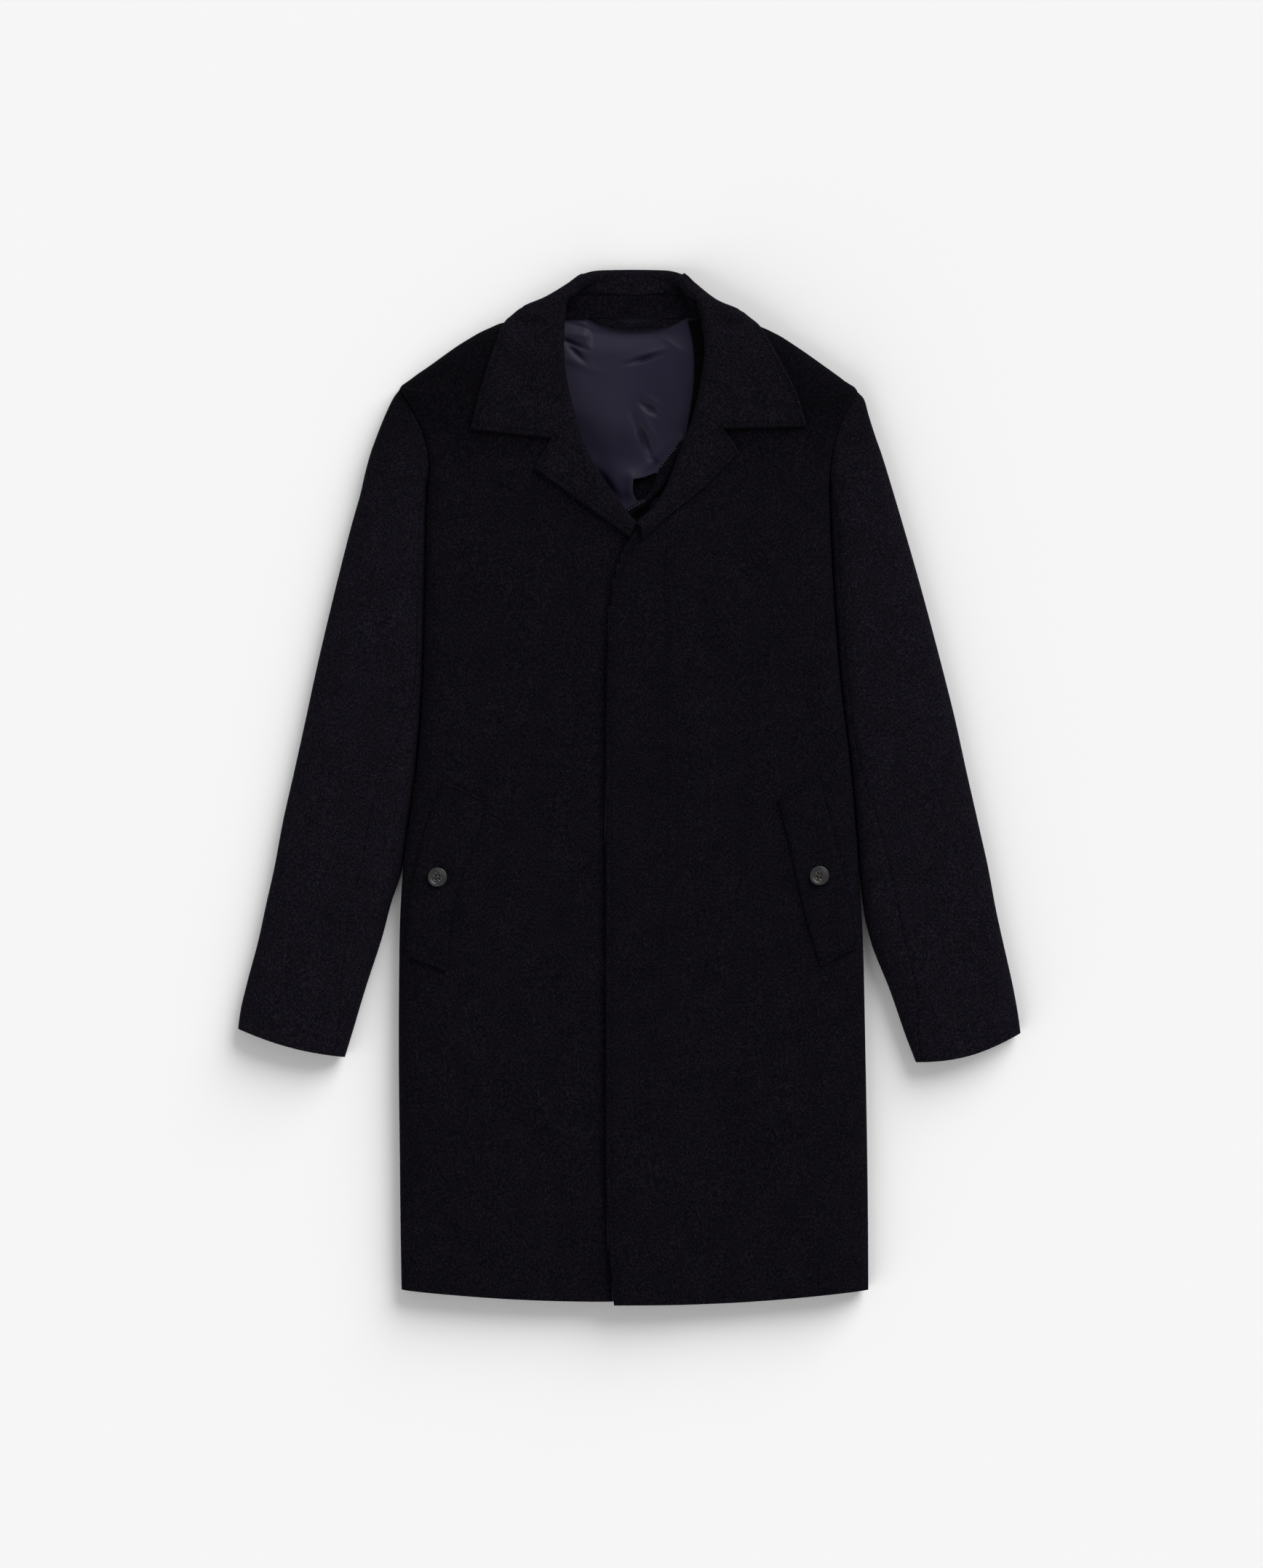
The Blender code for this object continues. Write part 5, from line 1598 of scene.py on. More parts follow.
# ------------------------------------------------------------------ sleeves
@dataclass
class SleevePair:
    """Top and under sleeve of one arm."""

    side: Side
    wardrobe: Wardrobe
    outer_z: float = 12.0
    outer_w: float = 44.0
    open_rows: int = 5  # the sleeve is open to the body down to this row
    cuff_row: float = 27.0  # length of the last row of the table
    cell: float = 4.2
    least_seam: float = 0.1  # smallest distance of the front seam from the inner fold
    beside_seam: float = 1.6  # from the front seam to the next point across
    most_turned: float = 0.8  # largest share of its width that a row turns under
    elbow_share: float = 0.9  # share of the turned cloth that the elbow's rounding takes
    inner_share: float = 0.15  # share of the width that the inner rounding takes
    closing_rows: float = 0.3  # rows in which the under sleeve comes to its inner fold
    thin_share: float = 0.12  # share of the full wall at the sleeve's head
    thin_rows: float = 1.6  # rows in which the wall grows to the full one
    seam_sink: float = 0.8
    seam_width: float = 1.6
    uneven: float = 0.3
    uneven_pitch: float = 48.0

    def __post_init__(self) -> None:
        """Work out the sections."""
        rows = FRONT_ROWS[self.side]
        keys = [SleeveRow(*self.beside_body(rows, row.beside), *row[1:]) for row in SLEEVE_UPPER[self.side]]
        keys += SLEEVE_LOWER[self.side]
        marks = np.linspace(0, len(keys) - 1, 700)
        lines = [plan_of(keys, name, marks) for name in ("inner", "outer")]
        self.last = len(keys) - 1
        self.at = with_edges(even_rows(lines, marks, self.cell), 0, self.cuff_row)
        self.inner, self.outer = plan_of(keys, "inner", self.at), plan_of(keys, "outer", self.at)
        self.fold_z = column(keys, "fold_z", self.at)
        self.seam = np.maximum(column(keys, "seam", self.at), self.least_seam)
        self.bow = CUFF_BOW[self.side] * np.clip(self.at - (self.last - 1.0), 0.0, 1.0)
        dense = np.linspace(0, self.last, 300)
        names = ("inner_x", "inner_y", "fold_z", "round_w")
        inner_fold = np.column_stack([column(keys, name, dense) for name in names])
        outer_round = np.full((len(dense), 2), (self.outer_z, self.outer_w))
        outer_fold = np.column_stack([plan_of(keys, "outer", dense), outer_round])
        crown_y = column(keys, "inner_y", dense)[::-1]
        crown_z = column(keys, "crown", dense)[::-1]
        folds = SLEEVE_FOLDS[self.side]
        seed = 11 if self.side is Side.RIGHT else 12

        def crown(x: Array, y: Array) -> Array:
            """Full height of the sleeve with its soft folds."""
            full = np.interp(y, crown_y, crown_z) + fold_relief(folds, x, y)
            return full + self.uneven * ripple(x, y, self.uneven_pitch, seed)

        self.dome = Dome([inner_fold, outer_fold], crown)

    def beside_body(self, rows: Sequence[FrontRow], at: float) -> Array:
        """The body's side fold at a fractional row, moved out to where the sleeve lies.

        Args:
            rows: The front's table.
            at: The row.

        Returns:
            The plan point.
        """
        here, there = plan_of(rows, "side", np.array([at, min(at + 0.05, len(rows) - 1)]))
        along = unit(there - here)
        normal = np.array([along[1], -along[0]])
        if normal[0] * self.side.outward < 0:
            normal = -normal
        return here + normal * BESIDE

    def over(self, row: int, shares: Array) -> Array:
        """Outer-face points over the top, at shares of the way from the inner to the outer fold."""
        plan = self.inner[row] + (self.outer[row] - self.inner[row]) * np.asarray(shares)[:, None]
        plan[:, 1] -= self.bow[row] * np.sin(np.pi * np.asarray(shares))
        return np.column_stack([plan, np.zeros(len(plan))])

    def top_grid(self) -> Array:
        """The top sleeve: from the front seam over the outer fold to the elbow seam.

        Returns:
            The grid.
        """
        tops, unders = [], []
        for row in range(len(self.at)):
            width = float(np.linalg.norm(self.outer[row] - self.inner[row]))
            start = min((self.seam[row] + SEAM / 2) / width, 0.5)
            curve = (1 - np.cos(np.pi * np.linspace(0, 1, 42))) / 2
            beside = min(self.beside_seam / width, 0.1)
            shares = np.concatenate([[start], start + beside + (1 - start - beside) * curve])
            tops.append(self.over(row, shares))
            inward = unit(self.inner[row] - self.outer[row])
            run = min(ELBOW_TURN, width * self.most_turned)
            reach = min(FOLD_REACH, run * self.elbow_share)
            unders.append(lower_fold(self.outer[row], inward, self.outer_z, floor, reach, run))
        top = np.array(tops)
        top[..., 2] = self.dome.height(top[..., 0], top[..., 1])
        top[:, -1, 2] = self.outer_z
        return np.concatenate([top, np.array(unders)], axis=1)

    def under_grid(self) -> tuple[Array, int]:
        """The under sleeve: from the elbow seam under the arm and round to the front seam.

        Returns:
            The grid, and how many of its columns lie flat underneath.
        """
        bottoms, folds, tops = [], [], []
        for row in range(len(self.at)):
            width = float(np.linalg.norm(self.outer[row] - self.inner[row]))
            inward = unit(self.inner[row] - self.outer[row])
            elbow = self.outer[row] + inward * (min(ELBOW_TURN, width * self.most_turned) + SEAM)
            reach = min(FOLD_REACH, width * self.inner_share)
            turn = lower_fold(self.inner[row], -inward, self.fold_z[row], floor, reach, reach * 1.1)
            closing_from = self.open_rows + 1 - self.closing_rows
            closed = float(np.clip((self.at[row] - closing_from) / self.closing_rows, 0.0, 1.0))
            end = self.inner[row] + (turn[-1, :2] - self.inner[row]) * closed
            plan = elbow + (end - elbow) * np.linspace(0, 1, 24)[:, None]
            bottoms.append(np.column_stack([plan, np.zeros(len(plan))]))
            folds.append(turn[-2::-1])
            seam = max(self.seam[row] - SEAM / 2, self.least_seam) / width
            tops.append(self.over(row, np.sin(np.linspace(0, math.pi / 2, 12)) * seam))
        top = np.array(tops)
        top[..., 2] = self.dome.height(top[..., 0], top[..., 1])
        top[:, 0, 2] = self.fold_z
        bottom = np.array(bottoms)
        return np.concatenate([bottom, np.array(folds), top], axis=1), bottom.shape[1]

    def build(self) -> list[Object]:
        """Make both panels.

        Returns:
            The panels.
        """
        pieces = []
        top = self.top_grid()
        under, flat = self.under_grid()
        open_row = self.at[:-1] >= self.open_rows + 1 - 1e-6
        keep = np.ones((len(self.at) - 1, under.shape[1] - 1), bool)
        keep[:, flat - 1 :] = open_row[:, None]
        seam_line = self.over_line(self.seam)
        wall = SHELL * np.clip(self.thin_share + self.at / self.thin_rows, self.thin_share, 1.0)[:, None]
        cuff = soft_edge((self.last - self.at) * self.cuff_row)[:, None]
        rests_on = [f"under_sleeve_{self.side.value}"]
        for name, grid, cells, rest in (("top", top, None, rests_on), ("under", under, keep, [])):
            sunk = -self.seam_sink * bell(line_distance(grid, seam_line)[0], self.seam_width) - cuff
            # painted light: the sleeves are drawn lighter from their heads downward
            down = ramp(grid[..., 1], PAINTED_LIGHT_LIGHTENS[0], -PAINTED_LIGHT_LIGHTENS[1])
            relief = np.where(grid[..., 2] > self.outer_z, sunk, 0.0)
            nap = PAINTED_LIGHT["sleeve_head"] + (PAINTED_LIGHT["sleeve"] - PAINTED_LIGHT["sleeve_head"]) * down
            shell = {"flip": self.side is Side.LEFT, "relief": relief, "values": {"nap": nap}, "lined": True}
            full_name = f"{name}_sleeve_{self.side.value}_cloth"
            pieces.append(self.wardrobe.lay(full_name, grid, wall, rest, keep=cells, **shell))
        return pieces

    def over_line(self, inset: Array) -> Array:
        """Plan points at a distance from the inner fold, from the armhole to the cuff."""
        inward = unit(self.outer - self.inner)
        line = self.inner + inward * inset[:, None]
        return line[self.at >= self.open_rows + 0.5]


# ------------------------------------------------------------------ lapels and collar
class RollLine:
    """The edge of a front inside its rolled fold, from which lapel and collar take their core."""

    edge_in_roll = 1.2

    def __init__(self, front: FrontPanel) -> None:
        """Keep the edge from the closing to the neck."""
        self.points = np.vstack([front.grid[front.at >= UNDERARM - 1e-6, 0, :2], NECK_END[front.side]])
        self.along = np.gradient(self.points, axis=0)

    def frame(self, near: Array) -> tuple[Array, Array]:
        """Core of the roll nearest to a plan point, and the direction out of the opening.

        Args:
            near: The plan point.

        Returns:
            The core's plan point, and the plan direction.
        """
        away, where = line_distance(near[None], self.points)
        index = min(int(where[0]), len(self.points) - 2)
        share = where[0] - index
        place = self.points[index] * (1 - share) + self.points[index + 1] * share
        along = unit(self.along[index] * (1 - share) + self.along[index + 1] * share)
        square = np.array([along[1], -along[0]])
        if float(square @ (place - OPENING)) < 0:
            square = -square
        return place + square * self.edge_in_roll, square


def arc_points(core: Array, outward: Array, core_z: float, turn: float) -> Array:
    """The rolled fold: a half circle from its inner to its outer side, in the section plane.

    Args:
        core: Plan point of the roll's core.
        outward: Plan direction out of the neck opening.
        core_z: Height of the core.
        turn: How far the roll turns over, degrees.

    Returns:
        Points of the half circle.
    """
    angle = math.radians(turn) + math.pi / 2 - math.pi * np.arange(ARC_STEPS + 1) / ARC_STEPS
    plan = core + outward * (ROLL * np.cos(angle))[:, None]
    return np.column_stack([plan, core_z + ROLL * np.sin(angle)])


@dataclass
class Lapel:
    """A facing folded over the roll line."""

    front: FrontPanel
    roll_line: RollLine
    wardrobe: Wardrobe
    stitches: list[Array] = field(default_factory=list)
    buttonhole: list[Array] = field(default_factory=list)
    reach_back: float = 9.0
    cell: float = 2.2
    leaf_points: int = 34

    def build(self) -> Object:
        """Make the lapel.

        Returns:
            The lapel.
        """
        side = self.front.side
        rows = LAPEL_ROWS[side]
        marks = np.linspace(0, len(rows) - 1, 400)
        lines = [plan_of(rows, "core", marks), plan_of(rows, "leaf", marks, straight=True)]
        at = even_rows(lines, marks, self.cell)
        leaf = plan_of(rows, "leaf", at, straight=True)
        near = plan_of(rows, "core", at)
        frames = [self.roll_line.frame(point) for point in near]
        cores = np.array([core for core, _ in frames])
        outs = np.array([out for _, out in frames])
        core_z = self.front.top(cores[:, 0], cores[:, 1]) + LAY + LEAF - ROLL
        wide = np.linalg.norm(leaf - cores, axis=1)
        shares = np.array([fine_shares(width, self.leaf_points)[1:] for width in wide])
        plan = cores[:, None] + (leaf - cores)[:, None] * shares[..., None]
        top = np.dstack([plan, self.front.top(plan[..., 0], plan[..., 1]) + LAY + LEAF])
        edge = line_distance(plan, leaf)[0]
        grid = []
        for i in range(len(at)):
            back = cores[i] + outs[i] * self.reach_back * np.linspace(1, 0, INNER_POINTS + 1)[:-1, None]
            inner = np.column_stack([back, np.full(len(back), core_z[i] - ROLL)])
            roll = arc_points(cores[i], outs[i], float(core_z[i]), 180)
            grid.append(np.vstack([inner, roll, top[i]]))
        grid = np.array(grid)
        keep = np.ones((grid.shape[0] - 1, grid.shape[1] - 1), bool)
        if side is Side.LEFT:
            keep[at[:-1] < 1.0 - 1e-6, : INNER_POINTS + ARC_STEPS // 2] = False
        edges = np.full(grid.shape[:2], FAR)
        edges[:, -plan.shape[1] :] = edge
        shell = {"flip": side is Side.RIGHT, "relief": leaf_relief(edges)}
        # painted light: the lapel is drawn lighter than the fronts
        shell["values"] = {"edge_mm": edges, "nap": PAINTED_LIGHT["collar"]}
        name, rests_on = f"lapel_{side.value}_cloth", [f"front_{side.value}"]
        piece = self.wardrobe.lay(name, grid, LEAF, rests_on, "folded", keep, **shell)
        self.stitches = [lay_on(piece, inset_line(leaf, EDGE_STITCH, tuple(cores[len(at) // 2])))]
        if side is Side.LEFT:
            start, end = np.array(BUTTONHOLE)
            across = unit(np.array([start[1] - end[1], end[0] - start[0]]))
            for offset in (-BUTTONHOLE_HALF, BUTTONHOLE_HALF):
                line = np.linspace(start, end, 30) + across * offset
                self.buttonhole.append(lay_on(piece, line, 0.0))
        return piece


@dataclass
class Collar:
    """The collar leaf and the stand inside the back neck."""

    fronts: dict[Side, FrontPanel]
    roll_lines: dict[Side, RollLine]
    wardrobe: Wardrobe
    cell: float = 2.4
    fall_points: int = 44
    sweep: float = 2.0 / 2.6  # roundness of the side where the fall turns down behind the neck
    blend: float = 0.34  # rows over which the leaf leaves the fronts
    row_height: float = 20.0  # usual distance between rows of the table
    settle_turn: float = 60.0  # degrees past upright in which the leaf comes down to the fronts
    depth_share: float = 0.6  # how far the hidden fold reaches in plan, as a share of its height
    least_depth: float = 2.0
    hold_share: float = 0.55  # pull of the curve's upper and lower ends
    foot_share: float = 0.45
    soft_rows: float = 0.45
    soft_passes: int = 12
    stand_wall: float = 2.2
    neck_seam: tuple[float, float, float] = (477.4, -68.0, 77.0)
    stand_seam: float = 501.0
    stand_rows: tuple[float, float] = (5.2, 14.8)
    stand_lift: tuple[float, float] = (1.0, 0.3)  # share of the roll's height to which its ends rise
    stand_columns: int = 130
    stand_lines: int = 26
    stand_level: float = 1.6  # rows from the middle that stay level, and then rows in which they rise
    steep: float = 1.6  # radians; beyond this turn the roll stands over the stand
    below_core: float = 2.0
    rise_width: float = 6.0
    clear: float = 0.7  # between the stand and the roll over it
    stitches: list[Array] = field(default_factory=list)

    def leaf_height(self, side: Side, x: Array, y: Array) -> Array:
        """Height of the leaf's outer face where it lies on a front, and just past its shoulder."""
        loose = DOMES[side].height(x, y, outset=ROLL - 1.0)
        return np.maximum(self.fronts[side].top(x, y), loose) + LAY + LEAF

    def hidden_fall(self, core: Array, side: Array, end: Array, core_z: float, turn: float) -> Array:
        """The fall from the roll's outer side, down behind the neck and flat under the back.

        Args:
            core: Plan point of the roll's core.
            side: Outermost plan point.
            end: Plan point of the leaf's edge.
            core_z: Height of the core.
            turn: How far the roll turns over, degrees.

        Returns:
            Points of the path.
        """
        outward = unit(side - core)
        reach = float(np.linalg.norm(side - core))
        angle = math.radians(turn)
        start = (ROLL * math.sin(angle), core_z - ROLL * math.cos(angle))
        if turn > 90.5:  # the roll turns over; else the leaf falls straight from it
            settled = float(ramp(turn, 90.0, self.settle_turn))
            side_z = settled * (FRONT_RIGHT[-1].fold_z + LAY + LEAF) + (1 - settled) * core_z
            swing = np.linspace(0, 1, 30) * math.pi / 2
            run = start[0] + (reach - start[0]) * np.sin(swing) ** self.sweep
            drop = side_z + (start[1] - side_z) * np.cos(swing) ** self.sweep
            path = [(*(core + outward * n), z) for n, z in zip(run, drop)]
            heading = (0.0, -1.0)
        else:
            path = [(*(core + outward * start[0]), start[1])]
            side_z = start[1]
            heading = (math.cos(angle), -math.sin(angle))
        below = np.array(path[-1][:2])
        inward = unit(end - below)
        total = float(np.linalg.norm(end - below))
        depth = min(FOLD_REACH, self.depth_share * side_z + self.least_depth)
        hold = self.hold_share * side_z
        for t in np.linspace(0, 1, 24)[1:]:
            foot = 3 * t * t * (1 - t) * self.foot_share + t**3
            along = 3 * t * (1 - t) ** 2 * heading[0] * hold + foot * depth
            height = (1 - t) ** 3 * side_z + 3 * t * (1 - t) ** 2 * (side_z + heading[1] * hold)
            if along <= total:
                path.append((*(below + inward * along), max(height, 0.0)))
        if total > depth:
            path.append((*end, 0.0))
        return np.array(path, float)

    def section(self, k: float, heights: Array) -> Array:
        """Outer-face points of the collar at a fractional row.

        Args:
            k: The row.
            heights: Core height of each row.

        Returns:
            Points from the inner side over the roll to the edge.
        """
        last = len(COLLAR) - 1
        on_leaf = k <= LEAF_ROWS + 1e-9 or k >= last - LEAF_ROWS - 1e-9
        side_of = Side.RIGHT if k < last / 2 else Side.LEFT
        mark = np.array([k])
        core = plan_of(COLLAR, "core", mark)[0]
        side = plan_of(COLLAR, "side", mark, straight=on_leaf)[0]
        end = side if on_leaf else plan_of(COLLAR, "end", mark)[0]
        turn = float(column(COLLAR, "turn", k))
        outward = unit(side - core)
        if on_leaf:
            core, outward = self.roll_lines[side_of].frame(core)
            core_z = float(self.fronts[side_of].top(*core)) + LAY + LEAF - ROLL
        else:
            core_z = float(through(heights, k))
        angle = math.radians(turn)
        inner_start = core - outward * ROLL * math.sin(angle)
        inner_z = core_z + ROLL * math.cos(angle)
        inner = float(column(COLLAR, "inner", k)) * np.linspace(1.0, 0.25, INNER_POINTS)
        inner_plan = inner_start - outward * (inner * math.cos(angle))[:, None]
        inner_height = np.maximum(inner_z - inner * math.sin(angle), STAND_TOP)
        inner_points = np.column_stack([inner_plan, inner_height])
        roll = arc_points(core, outward, core_z, turn)
        if on_leaf:
            plan = core + (side - core) * np.linspace(0, 1, 60)[:, None]
            path = np.column_stack([plan, self.leaf_height(side_of, plan[:, 0], plan[:, 1])])
            path[0, 2] = core_z + ROLL
        else:
            path = self.hidden_fall(core, side, end, core_z, turn)
            reach = np.linalg.norm(path[:, :2] - path[0, :2], axis=1)
            shown = min(float(np.linalg.norm(side - core)), float(reach.max())) - LAY
            outermost = int(np.argmax(reach >= shown))
            share = min(k - LEAF_ROWS, last - LEAF_ROWS - k, 1.0) ** 2
            kept = max(outermost + 1, int(round(outermost + 1 + share * (len(path) - outermost - 1))))
            path = path[:kept]
        return np.vstack([inner_points, roll, resample(path, self.fall_points)[1:]])

    def build_fall(self) -> Object:
        """Make the collar's roll and leaf, from notch to notch round the neck.

        Returns:
            The collar.
        """
        last = len(COLLAR) - 1
        heights = np.array([row.core_z for row in COLLAR], float)
        for index, side in ((LEAF_ROWS, Side.RIGHT), (last - LEAF_ROWS, Side.LEFT)):
            core, _ = self.roll_lines[side].frame(np.array([COLLAR[index].core_x, COLLAR[index].core_y]))
            heights[index] = float(self.fronts[side].top(*core)) + LAY + LEAF - ROLL
        self.heights = heights
        marks = np.linspace(0, last, 1200)
        lines = [plan_of(COLLAR, "core", marks), plan_of(COLLAR, "side", marks, straight=True)]
        at = even_rows(lines, marks, self.cell)
        leaves = {
            Side.RIGHT: (float(LEAF_ROWS), LEAF_ROWS + self.blend),
            Side.LEFT: (float(last - LEAF_ROWS), last - LEAF_ROWS - self.blend),
        }
        ends = {side: [self.section(k, heights) for k in pair] for side, pair in leaves.items()}
        grid = []
        for k in at:
            side = Side.RIGHT if k < last / 2 else Side.LEFT
            held, free = leaves[side]
            if min(held, free) < k < max(held, free):
                share = float(smooth_step((k - held) / (free - held)))
                grid.append(ends[side][0] * (1 - share) + ends[side][1] * share)
            else:
                grid.append(self.section(float(k), heights))
        grid = np.array(grid)
        self.soften(grid, at)
        right, left = at <= LEAF_ROWS, at >= last - LEAF_ROWS
        first, second = grid[right, -1, :2], grid[left, -1, :2]
        edge = np.minimum(line_distance(grid, first)[0], line_distance(grid, second)[0])
        leaf = np.zeros(grid.shape[:2], bool)
        leaf[:, INNER_POINTS + 1 + ARC_STEPS :] = (right | left)[:, None]
        edge = np.where(leaf, edge, FAR)
        # painted light: the collar is drawn lighter than the fronts
        shell = {"flip": True, "relief": leaf_relief(edge), "values": {"edge_mm": edge, "nap": PAINTED_LIGHT["collar"]}}
        rests_on = ["front_right", "front_left", "back"]
        piece = self.wardrobe.lay("collar_fall_cloth", grid, LEAF, rests_on, "folded", **shell)
        for edge_line, row in ((first, 1), (second, last - 1)):
            inside = (COLLAR[row].core_x, COLLAR[row].core_y + self.row_height)
            self.stitches.append(lay_on(piece, inset_line(edge_line, EDGE_STITCH, inside)))
        return piece

    def soften(self, grid: Array, at: Array) -> None:
        """Average neighbouring sections where the leaf leaves the fronts.

        Args:
            grid: The collar's sections, changed in place.
            at: Their rows.
        """
        leaves = LEAF_ROWS + self.blend / 2
        near = sum(bell(at - k, self.soft_rows) for k in (leaves, len(COLLAR) - 1 - leaves))
        weight = np.clip(near, 0, 1)[1:-1, None, None]
        for _ in range(self.soft_passes):
            mean = (grid[:-2] + 2 * grid[1:-1] + grid[2:]) / 4
            grid[1:-1] += (mean - grid[1:-1]) * weight

    def build_stand(self) -> Object:
        """Make the stand, from the neck seam to where the collar turns down inside the neck.

        Returns:
            The stand.
        """
        k = np.linspace(*self.stand_rows, self.stand_columns)
        core, side = plan_of(COLLAR, "core", k), plan_of(COLLAR, "side", k)
        turn = np.radians(column(COLLAR, "turn", k))
        reach = ROLL * np.sin(turn) + column(COLLAR, "inner", k) * np.maximum(np.cos(turn), 0.0)
        reach += SEAM * (turn < self.steep + 0.1)
        high = core - unit(side - core) * reach[:, None]
        y, left, right = self.neck_seam
        low = np.column_stack([np.clip(high[:, 0], left, right), np.full_like(k, y)])
        shares = np.linspace(0, 1, self.stand_lines)[:, None, None]
        plan = low + (high - low) * shares
        taper = ramp(np.abs(k - (len(COLLAR) - 1) / 2), self.stand_level, self.stand_level)[None]
        core_z = through(self.heights, k)
        share = np.where(k < (len(COLLAR) - 1) / 2, *self.stand_lift) * taper
        inward = np.linalg.norm(high - plan, axis=2) - ROLL * (1.0 - np.sin(turn)) * (turn > self.steep)
        rise = share * (core_z - self.below_core - STAND_TOP) * bell(inward - 0.5, self.rise_width)
        under = np.clip(ROLL + inward, 0.0, ROLL)
        ceiling = core_z - np.sqrt(ROLL**2 - under**2) - self.clear
        room = np.maximum(ceiling - STAND_TOP, 0.0)
        rise = np.where((inward < 0) & (turn > self.steep), np.minimum(rise, room), rise)
        grid = np.dstack([plan, STAND_TOP + rise])
        line = plan[..., 1] - self.stand_seam
        relief = 0.5 * bell(line - 3.0, 3.0) - 0.5 * bell(line, 1.4)
        # painted shade: the stand is drawn darker
        shell = {"relief": relief, "values": {"line_mm": line, "nap": PAINTED_LIGHT["stand"]}}
        return self.wardrobe.lay("collar_stand_cloth", grid, self.stand_wall, ["back"], **shell)


# ------------------------------------------------------------------ pockets
def surface_normals(grid: Array) -> Array:
    """Unit normals of a grid of points, pointing up."""
    normals = unit(np.cross(np.gradient(grid, axis=0), np.gradient(grid, axis=1)))
    return np.where(normals[..., 2:] < 0, -normals, normals)


@dataclass
class PocketWelt:
    """A slanted welt with stitched ends, and its button."""

    front: FrontPanel
    wardrobe: Wardrobe
    wall: float = 3.0
    cell: float = 2.0
    end_row: float = 45.0  # length of the first and last rows of the table
    half_width: float = 23.0
    pressed: float = 0.8  # how far the long edges are pressed down
    pressed_width: float = 3.0
    deepest: float = 2.4
    grid: Array = field(init=False)
    stitches: list[Array] = field(default_factory=list)

    def build(self) -> Object:
        """Make the welt from the front's own points, moved out.

        Returns:
            The welt.
        """
        side = self.front.side
        rows = WELT_ROWS[side]
        marks = np.linspace(0, len(rows) - 1, 300)
        lines = [plan_of(rows, name, marks) for name in ("outer", "inner")]
        at = with_edges(even_rows(lines, marks, self.cell), self.end_row, self.end_row)
        outer, inner = plan_of(rows, "outer", at), plan_of(rows, "inner", at)
        half = fine_shares(self.half_width, 20) / 2
        shares = np.concatenate([0.5 - half[:0:-1], 0.5 + half])
        plan = outer[:, None] + (inner - outer)[:, None] * shares[None, :, None]
        base = np.dstack([plan, self.front.top(plan[..., 0], plan[..., 1])])
        self.grid = base + surface_normals(base) * (LAY + self.wall)
        ends, longs = (
            np.minimum(*(line_distance(plan, line)[0] for line in pair))
            for pair in ((plan[0], plan[-1]), (plan[:, 0], plan[:, -1]))
        )
        pressed = self.pressed * bell(longs, self.pressed_width)
        relief = np.maximum(leaf_relief(ends) - soft_edge(longs) - pressed, -self.deepest)
        shell = {"flip": side is Side.RIGHT, "relief": relief, "values": {"edge_mm": ends}}
        name, rests_on = f"pocket_welt_{side.value}_cloth", [f"front_{side.value}"]
        piece = self.wardrobe.lay(name, self.grid, self.wall, rests_on, **shell)
        middle = tuple(plan[len(at) // 2, 20])
        for end in (plan[0], plan[-1]):
            self.stitches.append(lay_on(piece, inset_line(end, EDGE_STITCH, middle)[3:-3]))
        return piece


